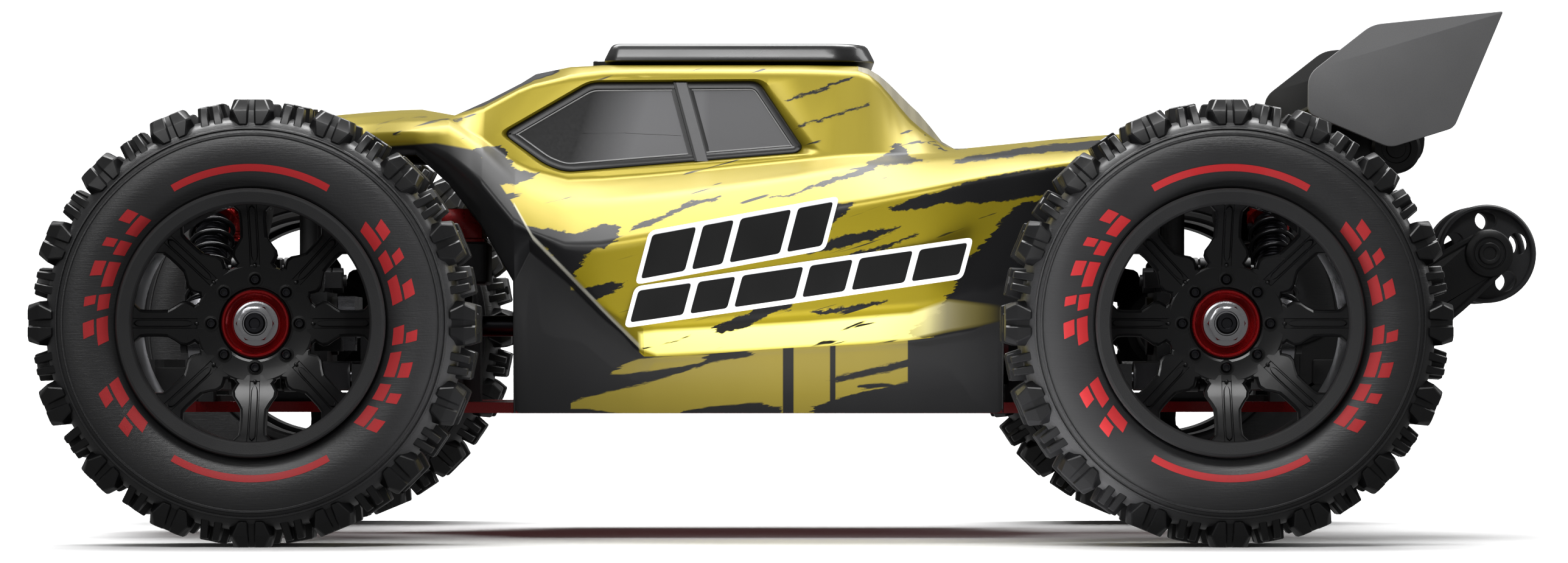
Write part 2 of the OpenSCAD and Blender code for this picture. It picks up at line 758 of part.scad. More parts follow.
// The whole ring of one section at station x
function ring(x, half) = [
    each [for (k = [0:half_n - 1]) [x, half[k][0], half[k][1]]],
    each [for (k = [half_n - 2:-1:0]) [x, -half[k][0], half[k][1]]]
];

// Strips from side to side that close one end, whose first point has index base
function cap(base, front) = [
    for (k = [0:half_n - 2])
        let (a = base + k, b = base + ring_n - 1 - k)
            each front ? [[a, b, a + 1], if (k < half_n - 2) [a + 1, b, b - 1]]
                : [[a, a + 1, b], if (k < half_n - 2) [a + 1, b - 1, b]]
];

// A closed solid through all the sections, from nose to tail
module loft(inside) {
    last = len(SHELL) - 1;
    rings = [
        for (i = [0:last])
            let (x = SHELL[i][0] + (inside ? (i == 0 ? -skin : i == last ? -0.5 : 0) : 0))
                ring(x, half_points(SHELL[i], inside))
    ];
    points = [for (r = rings) each r];
    walls = [
        for (i = [0:last - 1], k = [0:ring_n - 1])
            let (a = i * ring_n + k, b = i * ring_n + (k + 1) % ring_n)
                each [[a, b, a + ring_n], [b, b + ring_n, a + ring_n]]
    ];
    nose = cap(0, true);
    tail = cap(last * ring_n, false);
    polyhedron(points = points, faces = [each nose, each tail, each walls]);
}

// Side outlines of what is cut away under the nose and under the tail
NOSE_CUT = [[68.3, 20], [68.3, 60], [76, 73], [84, 83], [92, 90], [111, 90], [130, 88.4],
    [146, 79], [163, 64], [172, 64], [172, 20]];
TAIL_CUT = [[-45.3, 20], [-45.3, 52], [-60, 68], [-74, 82], [-95, 87.4], [-125, 88.2], [-125, 20]];

module body_shell() {
    color("#9c8d2c")
        difference() {
            loft(false);
            loft(true);
            side_plate(NOSE_CUT, -90, 90);
            side_plate(TAIL_CUT, -90, 90);
            for (p = [front_post, rear_post], s = SIDES)
                rod_z(post_r + 0.5, 80, 110, p[0], s * p[1]);
        }
}

module roof_plate() {
    x0 = -16;
    x1 = 48;
    w = 35;
    base = 112.2;
    roof_t = 4.4;
    round_r = 14;
    color("#161616")
        difference() {
            translate([0, 0, base]) linear_extrude(roof_t)
                union() {
                    translate([x0 + round_r, -w]) square([x1 - x0 - round_r - 4, 2 * w]);
                    translate([x0, round_r - w]) square([x1 - x0, 2 * (w - round_r)]);
                    for (s = SIDES)
                        translate([x0 + round_r, s * (w - round_r)]) circle(r = round_r);
                    translate([x1 - 5, 8 - w]) square([5, 2 * w - 16]);
                }
            // Shallow tray in the top
            translate([0, 0, base + 3]) linear_extrude(4)
                translate([x0 + 16, -w + 7]) square([x1 - x0 - 26, 2 * w - 14]);
        }
}

// ------------------------------------------------------------------- rear

END_PLATE = [[-160.8, 122.5], [-149.4, 95.5], [-134.6, 90.9], [-115.6, 98.9], [-115.7, 107.9],
    [-130.4, 119.4]];
wing_y = 66;
plate_w = 2;

module wing() {
    blade = [[-117.5, 99.8], [-126, 98.8], [-138, 100], [-150, 104.6], [-157.5, 114.8],
        [-156, 115.6], [-148.6, 106.4], [-138, 102.4], [-126, 101.4], [-117.5, 101.8]];
    color("#6a6a6a") {
        side_plate(blade, -wing_y + plate_w, wing_y - plate_w);
        for (s = SIDES)
            side_plate(END_PLATE, s > 0 ? wing_y - plate_w : -wing_y, s > 0 ? wing_y : plate_w - wing_y);
    }
}

module wing_mount() {
    back = rear_axle_x - tower_x1;
    color("#1e1e1e") {
        for (s = SIDES)
            side_plate([[back, 69], [back, 77.6], [back - 13, 86], [-126, 98.8], [-138, 100],
                [-146, 102.4], [-147, 93], [-141, 86.4], [-128, 85], [back - 12, 72]],
                s > 0 ? 9 : -12, s > 0 ? 12 : -9);
        rod_y(6, -15, 15, -141, 92.4);
        block([back - 4, -12, 70], [back, 12, 77]);
    }
}

bar_y0 = 16.5;
bar_y1 = 19.5;
wheelie_w = 8;
wheelie_y = 11;

module wheelie_bar() {
    foot = rear_axle_x - 21;
    end_r = 5.8;
    color("#1e1e1e")
        difference() {
            union() {
                for (s = SIDES) {
                    y0 = s > 0 ? bar_y0 : -bar_y1;
                    y1 = s > 0 ? bar_y1 : -bar_y0;
                    side_plate([[foot, plate_top], [foot, 46], [foot - 6, 47.5],
                        [wheelie_x + 10.7, wheelie_z + 0.8], [wheelie_x + 3.2, wheelie_z + 4.8],
                        [wheelie_x - 3.4, wheelie_z - 4.7], [wheelie_x + 7.7, wheelie_z - 15.2],
                        [foot - 14, plate_top + 2]], y0, y1);
                    rod_y(end_r, y0, y1, wheelie_x, wheelie_z);
                }
                block([foot - 12, -bar_y1, 36], [foot - 6, bar_y1, 42]);
                block([foot - 3, -bar_y1, plate_top], [foot, bar_y1, 46]);
            }
            rod_y(pin_r + fit, -25, 25, wheelie_x, wheelie_z);
        }
}

module wheelie_wheels() {
    holes = 5;
    hole_r = 2.4;
    hole_at = 8.1;
    color("#3a3a3a") translate([wheelie_x, 0, wheelie_z]) {
        for (s = SIDES)
            translate([0, s * wheelie_y, 0]) rotate([90, 0, 0])
                difference() {
                    cylinder(r = wheelie_d / 2, h = wheelie_w, center = true);
                    for (i = [0:holes - 1])
                        rotate(18 + i * 360 / holes) translate([hole_at, 0, 0])
                            cylinder(r = hole_r, h = wheelie_w + 1, center = true);
                }
        rod_y(pin_r, -bar_y1 - 1.5, bar_y1 + 1.5, 0, 0);
        for (s = SIDES)
            rod_y(2.6, s > 0 ? bar_y1 + 0.3 : -bar_y1 - 1.5, s > 0 ? bar_y1 + 1.5 : -bar_y1 - 0.3, 0, 0);
    }
}

// ------------------------------------------------------------------ output

for (c = CORNERS) {
    tyre(c);
    rim(c);
    lower_arm(c);
    upper_arm(c);
    shock_body(c);
    shock_rod(c);
    spring(c);
    halfshaft(c);
}
for (c = FRONT) {
    c_hub(c);
    steering_knuckle(c);
    tie_rod(c);
}
for (c = REAR)
    rear_carrier(c);
steering_rack();
servo_horn();
chassis_plate();
front_bumper();
gearbox_housings();
shock_towers();
hinge_pins();
motor();
motor_pinion();
centre_shaft();
battery();
esc();
servo();
body_posts();
body_shell();
roof_plate();
wing();
wing_mount();
wheelie_bar();
wheelie_wheels();
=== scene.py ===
"""Looks of the buggy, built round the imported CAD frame."""

from math import atan2, cos, degrees, hypot, pi, radians, sin

import bmesh
import bpy
from mathutils import Matrix, Vector
from mathutils.geometry import delaunay_2d_cdt


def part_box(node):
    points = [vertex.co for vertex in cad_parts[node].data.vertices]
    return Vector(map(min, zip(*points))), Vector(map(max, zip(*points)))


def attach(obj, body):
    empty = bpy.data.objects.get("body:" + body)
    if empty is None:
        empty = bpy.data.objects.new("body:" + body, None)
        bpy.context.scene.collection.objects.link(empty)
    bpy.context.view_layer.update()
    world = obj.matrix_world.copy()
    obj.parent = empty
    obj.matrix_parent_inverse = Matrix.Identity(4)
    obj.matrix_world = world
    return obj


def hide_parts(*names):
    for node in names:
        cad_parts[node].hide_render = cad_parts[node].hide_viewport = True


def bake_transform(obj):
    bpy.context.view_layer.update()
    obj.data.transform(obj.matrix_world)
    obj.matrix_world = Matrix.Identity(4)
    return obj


MM = 0.001
CORNERS = ("fl", "fr", "rl", "rr")
SIDES = (1, -1)
NAMED_SIDES = ((1, "left"), (-1, "right"))
FACING = {1: Matrix.Identity(4), -1: Matrix.Scale(-1, 4, (0, 1, 0))}
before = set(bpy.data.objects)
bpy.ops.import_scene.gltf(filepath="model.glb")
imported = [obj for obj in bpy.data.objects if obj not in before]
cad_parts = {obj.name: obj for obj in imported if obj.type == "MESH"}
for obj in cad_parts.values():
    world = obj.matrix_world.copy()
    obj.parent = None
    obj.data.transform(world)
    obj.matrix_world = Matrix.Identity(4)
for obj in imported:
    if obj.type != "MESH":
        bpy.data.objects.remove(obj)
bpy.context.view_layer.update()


def centre_mm(node):
    """Middle of a CAD node's box, in millimetres."""
    lo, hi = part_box(node)
    return (lo + hi) / 2 / MM


def box_mm(node):
    """Lowest and highest corner of a CAD node, in millimetres."""
    lo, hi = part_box(node)
    return lo / MM, hi / MM


def lerp(a, b, t):
    return a + (b - a) * t


# ---------------------------------------------------------------- mesh tools


class Piece:
    """Points in millimetres, faces and their material numbers, gathered before one object is made."""

    def __init__(self):
        self.points = []
        self.faces = []
        self.slots = []

    def add(self, points, faces, slot=0):
        base = len(self.points)
        self.points += [tuple(p) for p in points]
        self.faces += [tuple(base + i for i in f) for f in faces]
        self.slots += [slot] * len(faces)
        return self

    def turned(self, profile, steps, slot=0):
        """Adds a closed profile of (radius, along) turned about the Y axis."""
        return self.add(*spun(profile[::-1], steps), slot)

    def loft(self, outlines, slot=0):
        return self.add(*lofted(outlines), slot)

    def plate(self, outline, y0, y1, edge, slot=0):
        return self.add(*plate_xz(outline, y0, y1, edge), slot)

    def put(self, other, matrix=None):
        """Adds another piece, moved by a matrix. A mirrored matrix turns its faces round."""
        matrix = matrix or Matrix.Identity(4)
        base = len(self.points)
        flip = matrix.determinant() < 0
        self.points += [tuple(matrix @ Vector(p)) for p in other.points]
        for f, s in zip(other.faces, other.slots):
            face = tuple(base + i for i in f)
            self.faces.append(face[::-1] if flip else face)
            self.slots.append(s)
        return self

    def build(self, name, materials, body, origin=(0, 0, 0), mirror=False, sharp=32, slot=None,
              sheet=False):
        """Makes the object. The faces of closed parts are turned outwards, those of a sheet are kept."""
        mesh = bpy.data.meshes.new(name)
        flip = -1 if mirror else 1
        points = [(p[0] * MM, flip * p[1] * MM, p[2] * MM) for p in self.points]
        faces = [f[::-1] for f in self.faces] if mirror else self.faces
        mesh.from_pydata(points, [], faces)
        for m in materials:
            mesh.materials.append(m)
        mesh.polygons.foreach_set("material_index", self.slots)
        if not sheet:
            face_outwards(mesh)
        mesh.shade_smooth()
        mesh.set_sharp_from_angle(angle=radians(sharp))
        mesh.validate()
        piece = bpy.data.objects.new(name, mesh)
        bpy.context.scene.collection.objects.link(piece)
        piece.location = Vector(origin) * MM
        if body:
            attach(piece, body)
        return piece


def face_outwards(mesh):
    """Turns the faces of each part of a mesh outwards."""
    bm = bmesh.new()
    bm.from_mesh(mesh)
    bmesh.ops.recalc_face_normals(bm, faces=bm.faces)
    bm.to_mesh(mesh)
    bm.free()


def grid(rows, closed_rows=False, closed_cols=False):
    """Quads over rows of points, all of one length."""
    n = len(rows[0])
    points = [p for row in rows for p in row]
    faces = []
    for i in range(len(rows) if closed_rows else len(rows) - 1):
        for j in range(n if closed_cols else n - 1):
            a = i * n + j
            b = i * n + (j + 1) % n
            c = ((i + 1) % len(rows)) * n + (j + 1) % n
            d = ((i + 1) % len(rows)) * n + j
            faces.append((a, b, c, d))
    return points, faces


def spun(profile, steps):
    """A closed profile of (radius, along) turned about the Y axis."""
    return grid(ring_rows(lambda *_: profile, steps), closed_rows=True, closed_cols=True)


def ring_rows(section, steps):
    """Rows of points round the Y axis. section(i, a) gives the (radius, along) points at step i."""
    turns = [(i, 2 * pi * i / steps) for i in range(steps)]
    return [[(r * sin(a), y, r * cos(a)) for r, y in section(i, a)] for i, a in turns]


def ring_capped(rows, slot):
    """Rows round the Y axis, closed at both ends of the profile with a flat cap."""
    points, faces = grid(rows, closed_rows=True)
    n = len(rows[0])
    faces.append(tuple(i * n + n - 1 for i in range(len(rows)))[::-1])
    faces.append(tuple(i * n for i in range(len(rows))))
    return Piece().add(points, faces, slot)


def hexagon(a):
    """How far out a hexagon's side stands at an angle, for a distance of 1 across to its flats."""
    return 1 / cos((a + pi / 6) % (pi / 3) - pi / 6)


def lofted(outlines):
    """Closed outlines, all of one length, joined into a tube with flat ends."""
    points, faces = grid(outlines, closed_cols=True)
    n = len(outlines[0])
    faces.append(tuple(range(n))[::-1])
    faces.append(tuple(range(len(points) - n, len(points))))
    return points, faces


def both_ends(half):
    """A profile of (radius, along) and its mirror image at the other end."""
    return half + [(r, -y) for r, y in half[::-1]]


def at_y(outline, y):
    """Points (x, z) of a side outline, placed at y."""
    return [(x, y, z) for x, z in outline]


def at_z(outline, z):
    """Points (x, y) of a plan outline, placed at z."""
    return [(x, y, z) for x, y in outline]


def bevelled(points, faces, width, segments=2, angle=20):
    """The same solid with its sharp edges rounded."""
    bm = bmesh.new()
    verts = [bm.verts.new(p) for p in points]
    for f in faces:
        bm.faces.new([verts[i] for i in f])
    bmesh.ops.recalc_face_normals(bm, faces=bm.faces)
    limit = radians(angle)
    edges = [e for e in bm.edges if len(e.link_faces) == 2 and e.calc_face_angle(0) > limit]
    bmesh.ops.bevel(
        bm, geom=edges, offset=width, segments=segments, profile=0.6, affect="EDGES", clamp_overlap=True
    )
    bm.verts.index_update()
    out = [tuple(v.co) for v in bm.verts], [tuple(v.index for v in f.verts) for f in bm.faces]
    bm.free()
    return out


def corner_arc(before, p, after, radius, most, steps):
    """The points that round a corner p. They start at most a share of each side away from it."""
    to_a, to_b = before - p, after - p
    d = min(radius, most * to_a.length, most * to_b.length)
    a, b = p + to_a.normalized() * d, p + to_b.normalized() * d
    return [a * (1 - t) ** 2 + p * 2 * t * (1 - t) + b * t * t for t in (k / steps for k in range(steps + 1))]


def rounded(points, radius, steps=4):
    """A closed outline with each corner rounded. Every corner gives steps + 1 points."""
    out = []
    for i, p in enumerate(points):
        r = radius[i] if isinstance(radius, (list, tuple)) else radius
        before, after = Vector(points[i - 1]), Vector(points[(i + 1) % len(points)])
        out += [tuple(q) for q in corner_arc(before, Vector(p), after, r, 0.45, steps)]
    return out


def inset(points, d):
    """A closed outline in the plane, moved inwards by d. Its points run anticlockwise."""
    out = []
    n = len(points)
    for i, p in enumerate(points):
        a, b = Vector(points[i - 1]), Vector(points[(i + 1) % n])
        p = Vector(p)
        e1, e2 = (p - a).normalized(), (b - p).normalized()
        n1, n2 = Vector((-e1.y, e1.x)), Vector((-e2.y, e2.x))
        mid = n1 + n2
        out.append(tuple(p + mid / max(0.3, mid.length_squared / 2) * d))
    return out


def is_left_turning(points):
    return sum(points[i - 1][0] * p[1] - p[0] * points[i - 1][1] for i, p in enumerate(points)) > 0


def plate_xz(outline, y0, y1, edge=0.3):
    """A flat plate with a side outline in X and Z, from y0 to y1, with rounded rims."""
    if not is_left_turning(outline):
        outline = outline[::-1]
    small = inset(outline, edge)
    near = inset(outline, edge * 0.3)
    return lofted([at_y(small, y0), at_y(near, y0 + edge * 0.3), at_y(outline, y0 + edge),
                   at_y(outline, y1 - edge), at_y(near, y1 - edge * 0.3), at_y(small, y1)])


def tube(path, radius, sides=10):
    """A round tube along points, with closed ends."""
    path = [Vector(p) for p in path]
    rows = []
    up = None
    for i, p in enumerate(path):
        along = (path[min(i + 1, len(path) - 1)] - path[max(i - 1, 0)]).normalized()
        if up is None:
            up = along.orthogonal().normalized()
        up = (up - along * up.dot(along)).normalized()
        side = along.cross(up)
        angles = [2 * pi * k / sides for k in range(sides)]
        rows.append([p + (up * cos(a) + side * sin(a)) * radius for a in angles])
    return lofted(rows)


def towards(start, along):
    """Matrix that stands local Y on a point, turned to face along."""
    turn = Vector((0, 1, 0)).rotation_difference(Vector(along))
    return Matrix.Translation(Vector(start)) @ turn.to_matrix().to_4x4()


def socket_screw(r=1.6, h=1.2, slot=0):
    """A button-head screw with a six-sided socket, standing up along Y from 0."""
    dome = [(r, -0.3), (r, h * 0.35), (r * 0.9, h * 0.75), (r * 0.72, h), (r * 0.56, h)]

    def section(_, a):
        key = 0.48 * r * hexagon(a)
        return dome + [(key, h * 0.92), (key, h * 0.25)]

    return ring_capped(ring_rows(section, 24), slot)


# ----------------------------------------------------------------- materials


CURVE_TOP = 130  # the curve node holds 0 to 1, so its values are given over this many mm


class Graph:
    """A material's nodes, with short calls for the few kinds used here."""

    def __init__(self, name, rough=0.5, metal=0.0, coat=0.0, coat_rough=0.1):
        self.material = bpy.data.materials.new(name)
        self.material.use_nodes = True
        self.tree = self.material.node_tree
        self.shader = self.tree.nodes["Principled BSDF"]
        values = {"Roughness": rough, "Metallic": metal, "Coat Weight": coat, "Coat Roughness": coat_rough}
        for key, value in values.items():
            self.set(key, value)
        self.coords = self.tree.nodes.new("ShaderNodeTexCoord").outputs["Object"]
        self.parts = None

    def link(self, value, socket):
        if isinstance(value, bpy.types.NodeSocket):
            self.tree.links.new(value, socket)
        else:
            socket.default_value = value

    def set(self, name, value):
        self.link(value, self.shader.inputs[name])
        return self

    def node(self, kind, values, **options):
        """A new node. values holds what its sockets take, by their number or name."""
        node = self.tree.nodes.new("ShaderNode" + kind)
        for key, value in options.items():
            setattr(node, key, value)
        for key, value in values.items() if isinstance(values, dict) else enumerate(values):
            self.link(value, node.inputs[key])
        return node

    def math(self, kind, a, b=0.0, c=0.0, clamp=False):
        return self.node("Math", (a, b, c), operation=kind, use_clamp=clamp).outputs[0]

    def axes(self):
        """X, Y and Z in millimetres."""
        if self.parts is None:
            node = self.node("SeparateXYZ", [self.coords])
            self.parts = [self.math("MULTIPLY", out, 1 / MM) for out in node.outputs]
        return self.parts

    def stretched(self, sx, sy, sz, turn=(0, 0, 0)):
        """Coordinates in millimetres times a scale for each axis, after a turn."""
        source = self.coords
        if any(turn):
            turned = {"Vector": source, "Rotation": [radians(t) for t in turn]}
            source = self.node("Mapping", turned).outputs[0]
        return self.node("Mapping", {"Vector": source, "Scale": (sx / MM, sy / MM, sz / MM)}).outputs[0]

    def noise(self, vector, detail=2.0, rough=0.5, distort=0.0):
        values = {"Vector": vector, "Scale": 1.0, "Detail": detail, "Roughness": rough, "Distortion": distort}
        return self.node("TexNoise", values).outputs["Fac"]

    def grain(self, scale, detail, rough=0.5):
        """Noise of the same size along each axis, by its cycles for each millimetre."""
        return self.noise(self.stretched(scale, scale, scale), detail, rough)

    def span(self, *values):
        """A value taken from one range to another, which is 0 to 1 if it isn't given."""
        return self.node("MapRange", values).outputs[0]

    def mix(self, factor, a, b):
        a, b = (v if isinstance(v, bpy.types.NodeSocket) else rgb(v) for v in (a, b))
        return self.node("Mix", {0: factor, 6: a, 7: b}, data_type="RGBA").outputs[2]

    def shades(self, factor, colour, dark, light):
        """One colour, darker where the factor is low and lighter where it is high."""
        return self.mix(factor, shade(colour, dark), shade(colour, light))

    def bump(self, height, strength=0.3, distance=0.0002):
        values = {"Strength": strength, "Distance": distance, "Height": height}
        self.set("Normal", self.node("Bump", values).outputs[0])

    def inside(self, x, z, points, soft=0.25):
        """1 inside a convex outline in the plane, 0 outside."""
        if not is_left_turning(points):
            points = points[::-1]
        lowest = None
        for i, (px, pz) in enumerate(points):
            qx, qz = points[(i + 1) % len(points)]
            length = hypot(qx - px, qz - pz)
            a, b = -(qz - pz) / length, (qx - px) / length
            part = self.math("MULTIPLY_ADD", x, a, -(a * px + b * pz))
            side = self.math("MULTIPLY_ADD", z, b, part)
            lowest = side if lowest is None else self.math("MINIMUM", lowest, side)
        return self.span(lowest, -soft, soft)

    def curve(self, x, pairs):
        """A value that follows x along straight lines between (x, value) pairs."""
        lo, hi = pairs[0][0], pairs[-1][0]
        node = self.node("FloatCurve", ())
        line = node.mapping.curves[0]
        spots = [((a - lo) / (hi - lo), v / CURVE_TOP) for a, v in pairs]
        line.points[0].location, line.points[-1].location = spots[0], spots[-1]
        for spot in spots[1:-1]:
            line.points.new(*spot)
        for point in line.points:
            point.handle_type = "VECTOR"
        node.mapping.update()
        self.link(self.span(x, lo, hi), node.inputs["Value"])
        return self.math("MULTIPLY", node.outputs[0], CURVE_TOP)

    def stroke(self, x, z, rows, soft=0.15):
        """1 inside a brush mark, given as rows of (x, lower edge, upper edge)."""
        over = self.math("SUBTRACT", z, self.curve(x, [(r[0], r[1]) for r in rows]))
        under = self.math("SUBTRACT", self.curve(x, [(r[0], r[2]) for r in rows]), z)
        start, end = self.math("SUBTRACT", x, rows[0][0]), self.math("SUBTRACT", rows[-1][0], x)
        along = self.math("MINIMUM", start, end)
        return self.span(self.math("MINIMUM", self.math("MINIMUM", over, under), along), -soft, soft)

    def any_of(self, masks):
        out = masks[0]
        for m in masks[1:]:
            out = self.math("MAXIMUM", out, m)
        return out


def rgb(values):
    """A colour as 8-bit sRGB numbers, or linear ones up to 1, as linear RGBA."""
    if max(values[:3]) <= 1:
        return (*values[:3], 1.0)
    out = []
    for v in values[:3]:
        v = v / 255
        out.append(v / 12.92 if v < 0.04045 else ((v + 0.055) / 1.055) ** 2.4)
    return (*out, 1.0)


def shade(colour, k):
    return tuple(min(1.0, c * k) for c in rgb(colour)[:3])


def moulded(name, colour, rough=0.5, grain=3.0, bump=0.25, coat=0.0, spec=0.5):
    """Moulded plastic: fine leather grain, faint colour drift, uneven gloss."""
    g = Graph(name, rough=rough, coat=coat)
    g.set("Specular IOR Level", spec)
    drift = g.grain(0.05, 3)
    fine = g.grain(grain, 3, 0.6)
    both = g.math("MULTIPLY_ADD", fine, 0.35, g.math("MULTIPLY", drift, 0.65))
    g.set("Base Color", g.shades(both, colour, 0.72, 1.3))
    g.set("Roughness", g.span(drift, 0.3, 0.7, rough * 0.82, min(1.0, rough * 1.18)))
    g.bump(fine, bump, 0.00012)
    return g.material


def brushed(name, colour, rough=0.28, along=(0.15, 3.0, 3.0), metal=1.0, bump=0.12):
    """Machined metal: fine lines one way, with faint smudges."""
    g = Graph(name, rough=rough, metal=metal)
    lines = g.noise(g.stretched(*along), detail=4, rough=0.7)
    smudge = g.grain(0.12, 3)
    both = g.math("MULTIPLY_ADD", lines, 0.5, g.math("MULTIPLY", smudge, 0.5))
    g.set("Base Color", g.shades(both, colour, 0.75, 1.2))
    g.set("Roughness", g.span(both, 0.3, 0.7, rough * 0.75, rough * 1.35))
    g.bump(lines, bump, 0.00005)
    return g.material


def anodised(name, colour, rough=0.22):
    """Dyed aluminium: satin, with turning lines and a clear sheen."""
    g = Graph(name, rough=rough, metal=0.85, coat=0.4, coat_rough=0.12)
    lines = g.noise(g.stretched(1.2, 4.0, 1.2), detail=3, rough=0.6)
    drift = g.grain(0.08, 2)
    g.set("Base Color", g.shades(drift, colour, 0.8, 1.25))
    g.set("Roughness", g.span(lines, 0.3, 0.7, rough * 0.8, rough * 1.3))
    g.bump(lines, 0.08, 0.00005)
    return g.material


def rubber(name, colour, lines=True):
    """Tyre rubber: fine combed lines, a pebbled skin and dusty patches."""
    g = Graph(name, rough=0.5)
    g.set("Specular IOR Level", 0.6)
    comb = g.noise(g.stretched(0.25, 0.25, 5.0) if lines else g.stretched(2, 2, 2), detail=4, rough=0.65)
    pebble = g.grain(1.6, 2)
    dust = g.grain(0.06, 3)
    tone = g.math("MULTIPLY_ADD", comb, 0.55, g.math("MULTIPLY", dust, 0.45))
    g.set("Base Color", g.shades(tone, colour, 0.68, 1.38))
    g.set("Roughness", g.span(dust, 0.3, 0.7, 0.3, 0.42))
    height = g.math("MULTIPLY_ADD", comb, 0.75, g.math("MULTIPLY", pebble, 0.4))
    g.bump(height, 0.6, 0.00012)
    return g.material


GOLD = (154, 138, 30)
BLACK = (20, 20, 21)
CHARCOAL = (42, 42, 43)


# Livery marks on the flank, as rows of (x, lower edge, upper edge) in mm
DARK_FRONT = [(39, 19, 44.5), (45.5, 19, 51.5), (63.5, 19, 70), (68, 19, 77.5), (77, 19, 90.5),
              (87, 19, 92.5), (105, 19, 92)]
INK_MARKS = [
    [(63, 85, 85.5), (66, 83, 85.5), (69.5, 82.5, 87.5), (71.5, 82, 92), (74, 82, 91.5), (77, 90, 91)],
    [(44, 69.5, 72.5), (46.5, 67.5, 73), (49.5, 67, 72.5), (53, 63.5, 71), (54.5, 60.5, 71),
     (56.5, 62, 71.5), (59.5, 66, 72), (63.5, 69.5, 72.5), (67.5, 72.5, 73.5)],
    [(42.5, 59, 60), (48.5, 55.5, 59), (51.5, 54.5, 58), (55, 55.5, 58)],
    [(-10, 77.5, 78), (-6, 73.5, 78), (-3, 70, 77.5), (0, 74.5, 77.5), (2, 76, 77)],
    [(-90, 74, 90), (-68, 75.5, 87.5), (-55.5, 80, 86), (-46, 78.5, 85), (-40, 78, 83.5),
     (-36, 78, 82.5), (-29.5, 77.5, 80.5), (-24, 76, 79), (-19, 76, 77)],
    [(-90, 40, 79.5), (-55.5, 40, 79.5), (-48.5, 40, 77.5), (-44, 40, 74), (-41.5, 40, 70),
     (-39, 42, 66.5), (-34.5, 45, 65), (-33.5, 45.5, 58), (-29.5, 47, 53), (-23.5, 47, 48.5)],
    [(-21, 72, 72.5), (-16.5, 70, 72), (-11, 68.5, 71), (0, 66, 68)],
    [(-0.5, 56.5, 57), (6.5, 53, 56), (13.5, 49.5, 53), (19.5, 48, 50.5), (21.5, 48, 49)],
    [(-27.5, 88, 88.5), (-24.5, 87.5, 89), (-21.5, 87.5, 92.5), (-18, 87, 90), (-14, 86.5, 87.5)],
    [(-10, 107.5, 108.5), (4.5, 102.5, 103)],
    [(-14.5, 101.5, 102), (3, 96, 96.5)],
    [(20, 79.5, 80), (25, 78, 79), (35, 73.5, 75), (41, 71, 72)],
    [(-17.5, 87.5, 88), (-16.5, 86, 87.5), (-6, 82.5, 84), (3, 80, 80.5), (9.5, 79, 79.5)],
    [(-73, 91, 94), (-55.5, 90, 92.5), (-42, 88.5, 90), (-36, 87.5, 89), (-33, 87, 87.5)],
    [(-18.5, 55, 55.5), (-10, 53.5, 54.5), (-1, 52, 53)],
    [(-25.5, 70.5, 71), (-15.5, 66.5, 67.5), (-9, 65, 66)],
    [(-125, 86, 95), (-118, 86, 95), (-98, 87, 93.5), (-92, 90, 91)],
]
# Painted highlight line along the front crease, as rows of (x, lower edge, upper edge)
CREASE_HIGHLIGHT = [(39, 44.5, 45.5), (45.5, 51, 52), (63.5, 69.5, 70.5), (68, 77.5, 78)]
# Windscreen in plan, as (x, out from the centre line), and the black border round it
SCREEN = [(60, -1), (82.4, -1), (81, 29.5), (75.4, 34.8), (60, 32.8)]
SCREEN_EDGE = [(58.6, -1), (83.8, -1), (82.4, 30.2), (76, 36.2), (58.6, 34.2)]
# Painted highlight along the lower chamfer, as rows of (x, lower edge, upper edge); it turns to a grey
# painted reflection at the rear
SILL_HIGHLIGHT = [(-46, 51, 54), (-32, 48.5, 55.5), (-23.5, 46.5, 52.5), (0, 45, 50.5), (16.5, 44, 49.5),
             (35, 43, 48.5), (39, 44.5, 48)]
SKIRT_MARKS = [
    [(12.5, 43, 43.5), (23, 41, 46), (39, 36, 52), (46.5, 34.5, 54), (53, 33, 58), (59, 30, 58)],
    [(44.5, 29, 29.5), (50.5, 29, 30.5), (59, 29, 30.5)],
    [(6, 29, 31), (9, 29, 31), (11.5, 29, 32), (23, 29, 31), (29, 29, 30)],
    [(-27, 41, 43.5), (-16, 38.5, 40), (-10, 37.5, 39), (-6, 36.5, 38)],
    [(-27, 29, 37.5), (-15.5, 29, 35), (-11, 29, 34), (-6, 29, 32.5), (-1, 29, 31)],
    [(-20.5, 35.5, 36), (-16.5, 35.5, 36.5), (-12.5, 35, 36)],
]
SKIRT_KEEP = [(24, 41.5, 43), (29, 40.5, 43), (35, 39.5, 42.5), (39, 39, 42), (42.5, 38.5, 41),
              (45.5, 38.5, 39)]


